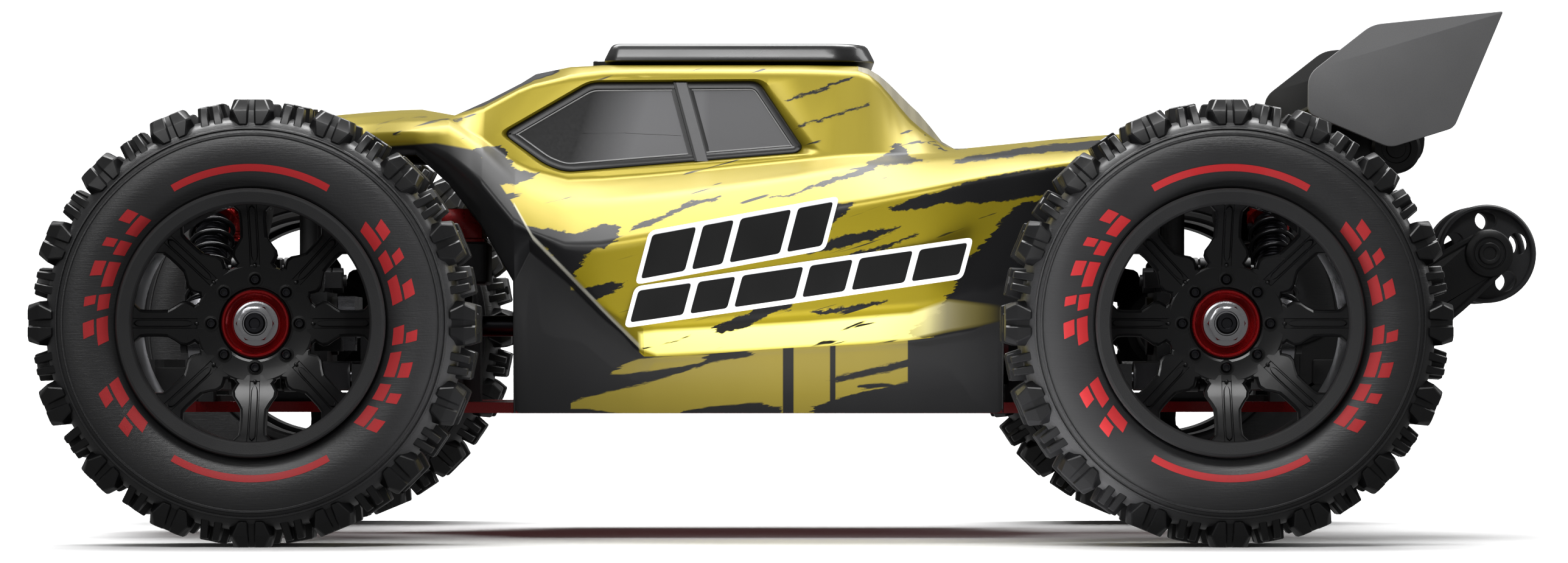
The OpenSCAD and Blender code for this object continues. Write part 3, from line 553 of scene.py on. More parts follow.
def shell_paint(name):
    """Metallic gold with matt black brush strokes that rise towards the rear, a painted highlight along the
    lower chamfer that turns to a grey painted reflection at its rear end, and a painted highlight line along
    the front crease.
    """
    g = Graph(name, rough=0.36, metal=0.5, coat=0.3, coat_rough=0.2)
    x, y, z = g.axes()
    tear = g.noise(g.stretched(0.16, 0.1, 0.9, (0, -14, 0)), detail=4, rough=0.7)
    rip = g.noise(g.stretched(0.35, 0.2, 0.5, (0, -14, 0)), detail=3, rough=0.6)
    rx = g.math("ADD", x, g.span(tear, 0.2, 0.8, -2.2, 2.2))
    rz = g.math("ADD", z, g.span(rip, 0.2, 0.8, -0.7, 0.7))
    marks = g.any_of([g.stroke(rx, rz, rows) for rows in INK_MARKS])
    front = g.stroke(x, z, DARK_FRONT, 0.25)
    streak = g.noise(g.stretched(0.022, 0.10, 0.5, (0, -17, 0)), detail=3, rough=0.55, distort=0.25)
    strokes = g.math("MINIMUM", g.span(streak, 0.655, 0.70, 0.0, 1.6), 1.0)
    ink = g.math("MAXIMUM", g.math("MAXIMUM", marks, front), strokes, clamp=True)
    fleck = g.grain(6, 2)
    drift = g.grain(0.03, 2)
    tone = g.math("MULTIPLY_ADD", fleck, 0.3, g.math("MULTIPLY", drift, 0.7))
    gold = g.shades(tone, GOLD, 0.78, 1.12)
    # Painted highlight along the lower chamfer: pale yellow in front, fading to a grey painted reflection
    # towards the rear
    pale = g.mix(g.span(x, -16, -32), (248, 236, 132), (120, 119, 112))
    band = g.math("MULTIPLY", g.stroke(x, z, SILL_HIGHLIGHT, 0.5), g.span(x, -45, -27))
    gold = g.mix(g.math("MULTIPLY", band, 0.9), gold, pale)
    black = g.shades(drift, BLACK, 0.8, 1.5)
    # Towards the rear of the chamfer the black strokes give way to the grey painted reflection
    sheen = g.math("MULTIPLY", band, g.span(x, -16, -28))
    ink = g.math("MULTIPLY", ink, g.math("SUBTRACT", 1.0, sheen))
    across = g.math("ABSOLUTE", y)
    screen = g.inside(x, across, SCREEN)
    border = g.inside(x, across, SCREEN_EDGE)
    skin = g.mix(ink, gold, black)
    # Painted highlight: a pale line along the front crease
    skin = g.mix(g.math("MULTIPLY", g.stroke(x, z, CREASE_HIGHLIGHT, 0.3), 0.6), skin, (206, 204, 190))
    skin = g.mix(border, skin, (12, 12, 13))
    g.set("Base Color", g.mix(screen, skin, g.mix(g.span(x, 60, 83), (58, 59, 62), (22, 22, 24))))
    plain = g.math("SUBTRACT", 1.0, g.math("MAXIMUM", g.math("MAXIMUM", ink, band), border), clamp=True)
    g.set("Metallic", g.math("MULTIPLY", plain, 0.5))
    g.set("Coat Weight", g.math("MAXIMUM", g.span(plain, 0, 1, 0.05, 0.16), g.math("MULTIPLY", screen, 0.5)))
    g.set("Specular IOR Level", g.span(plain, 0, 1, 0.26, 0.4))
    g.set("Roughness", g.span(fleck, 0.2, 0.8, 0.3, 0.42))
    g.bump(g.grain(1.2, 2), 0.03, 0.00004)
    return g.material


def skirt_paint(name):
    """Flat skirt film: olive gold between charcoal ends, with torn strokes and two bars."""
    g = Graph(name, rough=0.55)
    x, _, z = g.axes()
    tear = g.noise(g.stretched(0.16, 0.1, 0.9, (0, -12, 0)), detail=4, rough=0.7)
    rx = g.math("ADD", x, g.span(tear, 0.2, 0.8, -2.5, 2.5))
    marks = g.any_of([g.stroke(rx, z, rows) for rows in SKIRT_MARKS])
    marks = g.math("MULTIPLY", marks, g.math("SUBTRACT", 1.0, g.stroke(rx, z, SKIRT_KEEP)))
    ends = g.math("MAXIMUM", g.span(x, 54.9, 55.1), g.span(x, -22.9, -23.1))
    bars = g.math("MAXIMUM", g.inside(x, z, [(3.4, 20), (5.9, 20), (5.9, 60), (3.4, 60)], 0.12),
                  g.inside(x, z, [(-6.3, 20), (-5.0, 20), (-5.0, 60), (-6.3, 60)], 0.12))
    ink = g.math("MAXIMUM", g.math("MAXIMUM", marks, ends), bars, clamp=True)
    fine = g.grain(2.5, 2)
    drift = g.grain(0.04, 2)
    olive = g.shades(drift, (112, 100, 40), 0.9, 1.1)
    coal = g.shades(drift, CHARCOAL, 0.45, 0.65)
    g.set("Base Color", g.mix(ink, olive, coal))
    g.set("Roughness", g.span(drift, 0.3, 0.7, 0.48, 0.62))
    g.set("Specular IOR Level", 0.3)
    g.bump(fine, 0.08, 0.00004)
    return g.material


def tinted_glass(name):
    """Smoked window film: dark in front, paler behind, with a faint print texture."""
    g = Graph(name, rough=0.4)
    g.set("Specular IOR Level", 0.16)
    x, _, z = g.axes()
    lean = g.math("MULTIPLY_ADD", z, 0.3, x)
    fade = g.math("SMOOTH_MIN", g.span(lean, 82, 68), g.span(x, 23, 25, 0.78, 1.0), 0.12)
    fine = g.grain(1.5, 2)
    tone = g.math("MULTIPLY_ADD", fine, 0.03, g.math("MULTIPLY", fade, 0.96))
    g.set("Base Color", g.mix(tone, (4, 4, 5), (112, 112, 114)))
    g.set("Roughness", g.span(fine, 0.3, 0.7, 0.36, 0.46))
    return g.material


def rear_glass(name):
    """Rear screen film: milky beige, with a faint gold cast low down."""
    g = Graph(name, rough=0.25, coat=0.5)
    x, _, z = g.axes()
    fade = g.span(z, 90, 110)
    slats = g.math("SINE", g.math("MULTIPLY", x, 2.2))
    g.set("Base Color", g.mix(fade, (150, 140, 96), (186, 180, 160)))
    g.set("Roughness", g.span(slats, -1, 1, 0.18, 0.34))
    g.bump(slats, 0.05, 0.0001)
    return g.material


def wrap(name):
    """Battery wrap: dark film with two pale slanted bands."""
    g = Graph(name, rough=0.35, coat=0.3)
    x, y, z = g.axes()
    lean = g.math("ADD", x, z)
    band = g.math("MAXIMUM", g.inside(lean, y, [(66, -60), (72, -60), (72, 60), (66, 60)]),
                  g.inside(lean, y, [(75, -60), (77, -60), (77, 60), (75, 60)]))
    fine = g.grain(0.5, 3)
    dark = g.mix(fine, (24, 28, 36), (40, 46, 58))
    g.set("Base Color", g.mix(band, dark, (182, 60, 40)))
    g.set("Roughness", g.span(fine, 0.3, 0.7, 0.28, 0.42))
    g.bump(fine, 0.15, 0.0001)
    return g.material


# Moulded plastics and inks: name, colour, then roughness, grain per mm, bump depth, coat and specular level
MOULDED = {
    "knob": ("tread_rubber", (17, 17, 18), 0.34, 1.4, 0.12),
    "print": ("red_print", (176, 36, 40), 0.55, 4, 0.1),
    "spoke": ("spoke_black", (12, 12, 13), 0.3, 2.5, 0.08, 0.2),
    "lip": ("rim_lip", (32, 32, 33), 0.6, 4, 0.3),
    "arm": ("arm_plastic", (36, 36, 38), 0.48, 3.2),
    "case": ("case_plastic", (30, 30, 31), 0.52),
    "tower": ("tower_black", (22, 22, 23), 0.34, 1.8, 0.12, 0.2),
    "spur": ("spur_nylon", (36, 36, 38), 0.42, 2.0),
    "servo": ("servo_case", (26, 26, 28), 0.4, 2.4),
    "horn": ("horn_white", (214, 214, 208), 0.45, 2.0),
    "roof": ("roof_black", (30, 30, 31), 0.3, 1.2, 0.05, 0.5),
    "grey": ("wing_grey", (122, 122, 123), 0.55, 3.0, 0.12),
    # Black for the blade and the stay, and painted shade on the inner faces of the wing's end plates
    "inner": ("wing_inner", (18, 18, 19), 0.5, 3.0, 0.12),
    "bar": ("bar_black", (26, 26, 27), 0.4, 2.6, 0.18),
    "small_wheel": ("wheelie_grey", (52, 52, 54), 0.45, 2.6, 0.2),
    "trim": ("trim_black", (12, 12, 13), 0.36, 1.5, 0.06, 0.08, 0.3),
    "trim_light": ("trim_light", (128, 128, 128), 0.35, 1.5, 0.05),
    "pillar": ("pillar_grey", (78, 78, 80), 0.35, 1.5, 0.05),
    "ink": ("mark_black", (12, 12, 12), 0.4, 1.0, 0.05),
    "white": ("mark_white", (228, 228, 228), 0.45, 1.0, 0.05),
}
M = {key: moulded(*values) for key, values in MOULDED.items()}
M |= {
    "rubber": rubber("tyre_rubber", (42, 42, 43)),
    "red": anodised("red_anodised", (176, 24, 28)),
    "bright": brushed("bright_steel", (205, 205, 208), rough=0.2),
    "steel": brushed("shaft_steel", (168, 168, 172), rough=0.26),
    "dark_steel": brushed("dark_steel", (64, 64, 68), rough=0.3),
    "shock": anodised("shock_red", (176, 26, 26), rough=0.2),
    "spring": brushed("spring_wire", (30, 30, 32), rough=0.22, metal=0.6),
    "chassis": anodised("chassis_red", (140, 18, 22), rough=0.3),
    "can": brushed("motor_can", (70, 70, 74), rough=0.3, along=(0.15, 2, 2)),
    "brass": brushed("brass_gear", (190, 150, 80), rough=0.3),
    "battery": wrap("battery_wrap"),
    "esc": anodised("esc_red", (128, 20, 22), rough=0.3),
    "paint": shell_paint("shell_paint"),
    "skirt": skirt_paint("skirt_paint"),
    "glass": tinted_glass("window_film"),
    "rear_glass": rear_glass("rear_film"),
}

CAD_MATERIALS = {
    "lower_arm": "arm", "upper_arm": "arm", "c_hub": "arm", "steering_knuckle": "arm",
    "rear_carrier": "arm", "shock_body": "shock", "shock_rod": "steel", "halfshaft": "dark_steel",
    "tie_rod": "steel", "steering_rack": "steel", "servo_horn": "horn", "chassis_plate": "chassis",
    "front_bumper": "case", "gearbox_housings": "case", "shock_towers": "tower",
    "hinge_pins": "steel", "motor": "can", "motor_pinion": "brass", "centre_shaft": "dark_steel",
    "battery": "battery", "esc": "esc", "servo": "servo", "body_posts": "case",
}


def dress_cad():
    """Gives every carried-over CAD node its material."""
    for name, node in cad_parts.items():
        for start, key in CAD_MATERIALS.items():
            if name.startswith(start):
                node.data.materials.clear()
                node.data.materials.append(M[key])
                node.data.shade_smooth()
                node.data.set_sharp_from_angle(angle=radians(30))


# -------------------------------------------------------------------- wheels

KNOBS = 16
PITCH = 360 / KNOBS
TREAD_R = (box_mm("tyre_fl")[1].z - box_mm("tyre_fl")[0].z) / 2


def around(angle, t, a, r):
    """A point on a wheel: t along the tread, a out along the axle, r out from the axle."""
    s, c = sin(radians(angle)), cos(radians(angle))
    return (r * s + t * c, a, r * c - t * s)


# Half profile of the carcass, from bead to crown, as (radius, along)
SIDEWALL = [
    (30.05, 18.0), (30.2, 18.7), (30.6, 19.2), (31.2, 19.5), (32.2, 20.05), (33.4, 20.6), (34.8, 21.05),
    (36.4, 21.4), (38.2, 21.5), (40.0, 21.3), (41.2, 20.95), (41.7, 20.75), (41.9, 21.0),
    (42.25, 20.95), (42.4, 20.45), (43.1, 20.1), (43.3, 20.45), (43.6, 20.35), (43.75, 19.8),
    (44.6, 19.2), (45.3, 18.2), (45.9, 16.6), (46.3, 14.0), (46.5, 10.0), (46.6, 5.0), (46.6, 0.0),
]


def sidewall_at(r):
    """How far out the sidewall stands at a radius."""
    for (r0, a0), (r1, a1) in zip(SIDEWALL, SIDEWALL[1:]):
        if r0 <= r <= r1 and r1 > r0:
            return lerp(a0, a1, (r - r0) / (r1 - r0))
    return SIDEWALL[0][1]


def tread_block(low, high, r_low, r_high, mid=None, r_mid=None):
    """One block between outlines of (along the tread, out along the axle)."""
    rows = [[(t, a, r_low) for t, a in low]]
    if mid:
        rows.append([(t, a, r_mid) for t, a in mid])
    rows.append([(t, a, r_high) for t, a in high])
    points, faces = lofted(rows)
    return bevelled(points, faces, 0.22, 1, 25)


def both_ways(half):
    """A half outline and its mirror image across the second axis, starting on the mirrored side."""
    line = half + [(-t, a) for t, a in half[::-1]]
    return line[-1:] + line[:-1]


def box_outline(t0, t1, a0, a1, taper=0.0):
    return [(t0, a0), (t1, a0), (t1 - taper, a1), (t0 + taper, a1)]


def tread_pitch():
    """All the blocks of one pitch on one half of the tread: (angle offset, points, faces)."""
    top = TREAD_R
    low = both_ways([(5.2, 9.6), (5.2, 16.5), (2.6, 19.9), (0.9, 19.9), (0.9, 19.2)])
    mid = both_ways([(4.9, 9.9), (4.9, 16.8), (4.2, 19.3), (0.8, 19.3), (0.8, 18.4)])
    high = both_ways([(4.1, 10.4), (4.1, 15.6), (2.952, 17.2), (0.7, 17.2), (0.7, 15.7)])
    blocks = [(0, *tread_block(low, high, 44.2, top, mid, 47.4))]
    for s in SIDES:
        low = [(s * t, a) for t, a in box_outline(0.35, 2.7, 11.4, 18.9, 0.2)]
        mid = [(s * t, a) for t, a in box_outline(0.4, 2.5, 11.6, 18.0, 0.2)]
        high = [(s * t, a) for t, a in box_outline(0.45, 2.2, 11.9, 15.9, 0.1)]
        if s < 0:
            low, mid, high = low[::-1], mid[::-1], high[::-1]
        blocks.append((PITCH / 2, *tread_block(low, high, 44.4, top - 0.7, mid, 46.8)))
    inner_low = [(-3.6, 1.6), (3.6, 0.7), (3.9, 7.6), (0.9, 8.6), (-0.9, 7.2), (-3.2, 8.4)]
    inner_high = [(-3.0, 2.1), (3.0, 1.2), (3.3, 7.1), (0.8, 8.0), (-0.9, 6.6), (-2.7, 7.8)]
    blocks.append((PITCH / 2, *tread_block(inner_low, inner_high, 45.5, top - 0.1)))
    small_low = box_outline(-2.8, 2.8, 3.4, 8.6, 0.5)
    small_high = box_outline(-2.3, 2.3, 3.9, 8.1, 0.4)
    blocks.append((0, *tread_block(small_low, small_high, 45.5, top - 0.2)))
    return blocks


def tyre_print(piece):
    """Printed marks on the outer sidewall: two arcs and two rows of slanted bars."""
    def patch(a0, a1, r0, r1, lean=0.0, steps=6):
        rows = []
        for j in range(4):
            r = lerp(r0, r1, j / 3)
            angles = [lerp(a0, a1, i / steps) + lean * (r - r0) for i in range(steps + 1)]
            row = [around(angle, 0, sidewall_at(r) + 0.07, r) for angle in angles]
            rows.append(row)
        points, faces = grid(rows)
        deep = [(x, y - 0.25, z) for x, y, z in points]
        n = len(points)
        back = [tuple(n + i for i in f)[::-1] for f in faces]
        rim = boundary(faces)
        walls = [(b, a, n + a, n + b) for a, b in rim]
        piece.add(points + deep, faces + back + walls, 2)

    for mid in (0, 180):
        patch(mid - 30, mid + 30, 33.8, 35.4, steps=30)
    right = [(44, 9), (56, 6), (65, 10), (78, 6), (87, 10), (112, 10), (125, 9)]
    left = [(226, 9), (238, 7), (248, 10), (261, 7), (277, 10), (290, 7), (300, 10)]
    for start, width in right + left:
        patch(start, start + width, 31.8, 34.2, lean=0.6)
        patch(start + 1.6, start + 1.6 + width * 0.55, 34.8, 37.2, lean=0.6)


def boundary(faces):
    """Edges used by one face only, in that face's direction."""
    used = dict.fromkeys((a, b) for f in faces for a, b in zip(f, f[1:] + f[:1]))
    return [(a, b) for a, b in used if (b, a) not in used]


def tyre_piece():
    piece = Piece()
    profile = SIDEWALL + [(r, -a) for r, a in SIDEWALL[-2::-1]]
    piece.add(*spun(profile, 144), 0)
    for angle, pts, fcs in tread_pitch():
        for i in range(KNOBS):
            for s in SIDES:
                moved = [around(angle + i * PITCH, t, s * a, r) for t, a, r in pts]
                piece.add(moved, [f[::-1] for f in fcs] if s < 0 else fcs, 1)
    tyre_print(piece)
    return piece


# Half width of a spoke at each radius, and how far out its face stands
SPOKE = [
    (11.6, 4.6, 7.4), (12.8, 4.7, 7.8), (13.5, 4.1, 8.1), (14.2, 4.6, 8.4), (15.2, 5.1, 8.9),
    (16.4, 4.9, 9.6), (17.8, 3.9, 10.5), (19.2, 3.1, 11.4), (21.0, 3.0, 12.8), (23.5, 3.0, 14.9),
    (25.0, 3.2, 16.3), (26.0, 4.2, 17.3), (26.9, 5.3, 18.1),
]


def spoke_part():
    """One spoke pointing up, with bevelled edges and a raised rib with round ends."""
    rows = []
    for r, w, y in SPOKE:
        edge = [(-w, -3.2), (-w, -0.7), (-w + 0.22, -0.28), (-w + 0.7, 0), (-1.15, 0), (-1.0, -0.3)]
        section = edge + [(-t, a) for t, a in edge[::-1]]
        rows.append([(t, y + a, r) for t, a in section])
    piece = Piece().loft(rows, 0)
    rib = []
    line = [(13.9, 0.0), (14.3, 0.45), (15.0, 0.72)] + [(r, 0.8) for r in (16.4, 17.8, 19.2, 21, 23.5)]
    line += [(25.0, 0.8), (25.6, 0.62), (26.0, 0.0)]
    for r, w in line:
        y = spoke_height(r)
        w = max(w, 0.05)
        rib.append([(-w, y - 0.5, r), (-w, y + 0.05, r), (-w * 0.7, y + 0.25, r),
                    (w * 0.7, y + 0.25, r), (w, y + 0.05, r), (w, y - 0.5, r)])
    piece.loft(rib, 0)
    return piece


def spoke_height(r):
    for (r0, _, y0), (r1, _, y1) in zip(SPOKE, SPOKE[1:]):
        if r <= r1:
            return lerp(y0, y1, (r - r0) / (r1 - r0))
    return SPOKE[-1][2]


def hex_nut(r, y0, y1, slot):
    """A six-sided nut with chamfered corners."""
    def section(_, a):
        h = r * cos(pi / 6) * hexagon(a)
        return [(h, y0), (h, y1 - 0.5), (min(h, r * 0.93), y1 - 0.15), (r * 0.8, y1), (r * 0.66, y1),
                (r * 0.62, y1 - 0.3)]

    return ring_capped(ring_rows(section, 36), slot)


def rim_piece():
    piece = Piece()
    lip = [
        (26.45, 18.0), (26.45, 20.4), (26.65, 21.0), (27.0, 21.35), (29.2, 21.75), (29.7, 21.7),
        (30.0, 21.3), (30.0, -19.6), (29.6, -20.0), (28.7, -20.0), (28.2, -19.6), (28.2, 16.8),
    ]
    piece.turned(lip, 144, 1)
    barrel = [(26.9, 15.6), (28.25, 16.0), (28.25, 8.0), (27.9, 2.0), (27.6, -2.0), (27.6, -19.4),
              (28.3, -19.6), (28.3, 17.0), (26.4, 18.2)]
    piece.turned(barrel, 96, 0)
    hub = [
        (5.6, 3.4), (7.95, 3.4), (7.95, 6.2), (8.2, 6.75), (8.7, 7.05), (11.4, 7.3), (12.9, 7.75),
        (13.3, 7.6), (13.5, 6.6), (13.4, 2.4), (10.4, -0.4), (5.6, -0.4),
    ]
    piece.turned(hub, 96, 0)
    spoke = spoke_part()
    for i in range(8):
        turn = Matrix.Rotation(radians(45 * i), 4, "Y")
        piece.put(spoke, turn)
        angle = 45 * i
        seat = Piece().turned([(1.25, 0.6), (1.35, 0.3), (1.75, 0.25), (1.8, -0.4), (1.25, -0.4)], 20)
        piece.put(seat, Matrix.Translation(around(angle, 0, 7.1, 9.9)))
        bolt = socket_screw(1.15, 0.9, 2)
        piece.put(bolt, Matrix.Translation(around(angle, 0, 6.95, 9.9)))
        rivet = Piece().turned([(0.0, 0.4), (0.32, 0.3), (0.45, 0.0), (0.45, -0.4), (0.0, -0.4)], 12)
        piece.put(rivet, Matrix.Translation(around(angle, 0, spoke_height(13.2), 13.0)))
    cup = [
        (4.5, 4.2), (5.4, 4.3), (6.0, 4.9), (6.7, 6.1), (6.85, 6.7), (7.05, 6.95), (7.4, 6.95),
        (7.65, 6.7), (7.7, 3.0), (4.5, 3.0),
    ]
    piece.turned(cup, 64, 3)
    washer = [(2.6, 5.3), (4.6, 5.3), (5.0, 5.15), (5.2, 4.6), (5.2, 4.2), (2.6, 4.2)]
    piece.turned(washer, 48, 4)
    piece.put(hex_nut(4.3, 5.2, 8.6, 4))
    shaft = [(0.0, 9.0), (1.1, 9.0), (1.3, 9.4), (2.05, 9.4), (2.4, 9.05), (2.45, -10.9), (0.0, -10.9)]
    piece.turned(shaft, 32, 5)
    drive = [(2.3, -10.4), (4.7, -10.4), (5.0, -10.7), (5.0, -17.7), (4.7, -18.0), (3.9, -18.0),
             (3.9, -11.6), (2.3, -11.6)]
    piece.turned(drive, 40, 5)
    return piece


def make_wheels():
    tyre = tyre_piece()
    rim = rim_piece()
    for c in CORNERS:
        middle = centre_mm("tyre_" + c)
        right = c[1] == "r"
        made = tyre.build("tyre_tread_" + c, [M["rubber"], M["knob"], M["print"]], "wheel_" + c,
                          origin=middle, mirror=right, sharp=20, slot="tyre_rubber")
        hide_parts("tyre_" + c)
        looks = [M["spoke"], M["lip"], M["dark_steel"], M["red"], M["bright"], M["dark_steel"]]
        made = rim.build("rim_face_" + c, looks, "wheel_" + c, origin=middle, mirror=right,
                         sharp=16, slot="rim_black")
        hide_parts("rim_" + c)


# ----------------------------------------------------------------- body shell

# Sections from nose to tail: x, how far out the lower edge stands, the corners as (out, up), and the
# height on the centre line
SHELL = [
    [163, 12, (13, 66.6), (14, 67.4), (14.5, 68.6), (14, 70), (12, 71.4), (9, 72.4), (5, 73), 73.2],
    [146, 21, (22, 80.6), (23, 81.4), (24, 82.8), (23, 84.6), (21, 86.4), (17, 88), (10, 89), 89.6],
    [130, 25, (26, 89), (27, 89.8), (27.5, 91), (26.5, 92.6), (24, 94.2), (19, 95.8), (11, 96.8), 97.2],
    [111, 28, (29, 90.6), (30, 91.4), (31, 92.8), (30, 94.8), (27, 97.2), (21, 99.4), (12, 100.6), 101],
    [92, 41, (43, 90.6), (46, 91.4), (48, 93), (47, 95.4), (42, 98), (30, 100.4), (15, 101.7), 102],
    [84, 51, (52, 84), (54, 85.6), (56, 89), (51, 96), (46.5, 98), (38, 99.2), (18, 100.2), 100.6],
    [76, 60, (61, 74.4), (63, 77), (65, 83), (56, 91), (50, 93.4), (44, 101), (22, 103.6), 104],
    [68, 64, (64.5, 60), (68, 67), (71, 73.4), (60, 82.8), (53, 87.6), (42.4, 105.3), (21, 107.8), 108.2],
    [64.5, 64, (64.5, 67), (70, 69.4), (72.5, 71.2), (62, 80.4), (53.5, 86), (42, 106.6), (24, 109.8), 110],
    [56, 64, (65, 60), (74, 62.6), (76, 67.7), (64, 78), (54, 83.8), (41, 108.4), (35, 111), 111.4],
    [48, 64, (65, 52), (76.5, 54.6), (77.4, 68), (65, 78.3), (54, 84), (40.5, 109.4), (35.6, 111.4), 111.6],
    [38, 64, (65.5, 43.5), (78, 48.2), (78, 69.7), (66, 79.3), (54, 84.7), (40, 109.7), (35.6, 111.4), 111.6],
    [4, 64, (66, 45.5), (78, 50.6), (78, 75.4), (66, 84.2), (54, 88), (40, 109.7), (35.6, 111.4), 111.6],
    [-12, 64, (66, 46.3), (78, 51.8), (78, 78), (63, 87), (55, 89.4), (40, 109.4), (34, 111.2), 111.6],
    [-26.5, 64, (66, 47.6), (78, 53), (77, 81), (60.5, 88.2), (53, 89.8), (41, 96), (24, 100.6), 101.4],
    [-35, 63.5, (65.5, 49), (75, 56), (75, 82.8), (60, 88.8), (49, 90.3), (37, 91.4), (20, 92.2), 92.4],
    [-45, 62, (63, 51), (70, 60), (71.4, 84.6), (60, 89.3), (47, 91), (35, 92.3), (20, 93), 93.2],
    [-60, 61, (62, 70), (66, 76), (67, 87.2), (58, 90.4), (46, 92), (34, 93.5), (20, 94.5), 94.8],
    [-74, 56, (57, 83), (60, 85), (61, 88.5), (55, 91.3), (45, 93.2), (33, 94.9), (20, 95.6), 95.9],
    [-95, 46, (47, 89), (49, 89.6), (50, 90.6), (47, 92), (40, 93.7), (30, 95.5), (18, 96.4), 96.8],
    [-115, 38, (39, 90.4), (40, 90.9), (40.5, 91.7), (39, 92.8), (34, 94.3), (27, 95.9), (16, 96.7), 97],
]
EDGE_Z = 29.5  # lower edge of the skirt
NOSE_EDGE = [(68.3, EDGE_Z), (68.4, 60), (76, 73), (84, 83), (92, 90), (111, 90), (130, 88.4), (146, 79),
             (163, 64)]
TAIL_EDGE = [(-45.3, EDGE_Z), (-45.4, 52), (-60, 68), (-74, 82), (-95, 87.4), (-115, 88)]
FRONT_ARCH, REAR_ARCH = NOSE_EDGE[0][0], TAIL_EDGE[0][0]  # where the skirt ends
# How far each corner of a section is rounded
ROUND = [0, 0.8, 1.6, 2.2, 2.6, 1.0, 1.6, 1.4, 0]
ARC = 4
CURL = 1.5  # over this length the lower edge curls up towards a wheel arch
# Between these stations the panels are straight, with creases where they meet
STRAIGHT = (38, 92)


def along_line(line, x):
    """Height of a polyline of (x, z) at x."""
    pts = sorted(line)
    if x <= pts[0][0]:
        return pts[0][1]
    for (x0, z0), (x1, z1) in zip(pts, pts[1:]):
        if x <= x1:
            return lerp(z0, z1, (x - x0) / (x1 - x0))
    return pts[-1][1]


def slopes(xs, vs):
    """Slopes that keep a curve through the values from overshooting."""
    n = len(xs)
    d = [(vs[i + 1] - vs[i]) / (xs[i + 1] - xs[i]) for i in range(n - 1)]
    m = [d[0]]
    for i in range(1, n - 1):
        m.append(0.0 if d[i - 1] * d[i] <= 0 else 2 * d[i - 1] * d[i] / (d[i - 1] + d[i]))
    m.append(d[-1])
    return m


def curve_at(xs, vs, ms, x):
    for i in range(len(xs) - 1):
        if x <= xs[i + 1] or i == len(xs) - 2:
            h = xs[i + 1] - xs[i]
            t = (x - xs[i]) / h
            if STRAIGHT[0] <= xs[i] and xs[i + 1] <= STRAIGHT[1]:
                return lerp(vs[i], vs[i + 1], t)
            a = (1 + 2 * t) * (1 - t) ** 2 * vs[i] + t * (1 - t) ** 2 * h * ms[i]
            return a + t * t * (3 - 2 * t) * vs[i + 1] + t * t * (t - 1) * h * ms[i + 1]


class Sections:
    """The shell's half outline at any x."""

    def __init__(self):
        self.xs = [row[0] for row in sorted(SHELL)]
        rows = [[(row[1], EDGE_Z), *row[2:-1], (0, row[-1])] for row in sorted(SHELL)]
        self.curves = []
        for corner in zip(*rows):
            self.curves.append([(values, slopes(self.xs, values)) for values in zip(*corner)])

    def corners(self, x):
        out = []
        for (ys, my), (zs, mz) in self.curves:
            out.append(Vector((curve_at(self.xs, ys, my, x), curve_at(self.xs, zs, mz, x))))
        low = EDGE_Z
        if x >= FRONT_ARCH:
            low = along_line(NOSE_EDGE, x)
        elif x <= REAR_ARCH:
            low = along_line(TAIL_EDGE, x)
        else:
            curl = max(0, x - (FRONT_ARCH - CURL), REAR_ARCH + CURL - x)
            low += CURL * (curl / CURL) ** 2
        if -40 < x < 42:
            out[1].y -= 0.8
            out[2].y += 1.3
        out[0].y = min(low, out[1].y - 0.25)
        return out

    def outline(self, x):
        """Rounded half outline: one point at each end, and an arc at each corner."""
        c = self.corners(x)
        line = [c[0]]
        for k in range(1, 8):
            line += corner_arc(c[k - 1], c[k], c[k + 1], ROUND[k], 0.42, ARC)
        line.append(c[8])
        return line


SIDE_BASE = 1 + 5 * (ARC + 1) - 1  # last point of corner 5's arc
SIDE_TOP = SIDE_BASE + 1  # first point of corner 6's arc
PANEL_X = (-8.0, 75.5)
REVEAL_DEPTH = 1.3
GLASS = [(71.2, 94.8), (51, 106.9), (11.6, 107.2), (1.4, 91.4), (2.9, 90.2), (56.6, 85.8), (61.2, 87.5)]
REVEAL = [(72.6, 94.9), (51.3, 107.6), (10.3, 107.9), (-3.2, 90.5), (-1.6, 89.9), (56.8, 85.1), (61.9, 86.8)]


def shell_stations():
    xs = sorted(r[0] for r in SHELL)
    near = (0, 0.1, -1.5, -0.9, -0.4)
    marks = set(xs) | set(PANEL_X) | {round(FRONT_ARCH + d, 1) for d in near}
    marks |= {round(REAR_ARCH - d, 1) for d in near}
    marks = sorted(marks)
    out = []
    for a, b in zip(marks, marks[1:]):
        n = max(1, round((b - a) / 2.6))
        out += [lerp(a, b, i / n) for i in range(n)]
    return out + [marks[-1]]


def shell_piece():
    """The skin as one sheet, with a recessed opening in each side."""
    sections = Sections()
    xs = shell_stations()
    halves = [sections.outline(x) for x in xs]
    m = len(halves[0])
    piece = Piece()
    rows = []
    for x, half in zip(xs, halves):
        left = [(x, p.x, p.y) for p in half]
        right = [(x, -p.x, p.y) for p in half[-2::-1]]
        rows.append(left + right)
    n = len(rows[0])
    points = [p for row in rows for p in row]
    for i in range(len(xs) - 1):
        mid = (xs[i] + xs[i + 1]) / 2
        for j in range(n - 1):
            k = j if j < m - 1 else n - 2 - j
            in_panel = PANEL_X[0] < mid < PANEL_X[1]
            if k == SIDE_BASE and in_panel:
                continue
            slot = 0
            if k <= ARC - 2 and -45.35 < mid < 68.35:
                slot = 1
            if -37 < mid < -13 and k > SIDE_TOP + ARC - 1:
                slot = 2
            a, b = i * n + j, i * n + j + 1
            piece.faces.append((a, b, b + n, a + n))
            piece.slots.append(slot)
    piece.points = points
    index = {x: i for i, x in enumerate(xs)}
    inside = [x for x in xs if PANEL_X[0] <= x <= PANEL_X[1]]
    lower = [(x, halves[index[x]][SIDE_BASE]) for x in inside]
    upper = [(x, halves[index[x]][SIDE_TOP]) for x in inside]
    panel_faces(piece, lower, upper, index, n)
    return piece, lower, upper


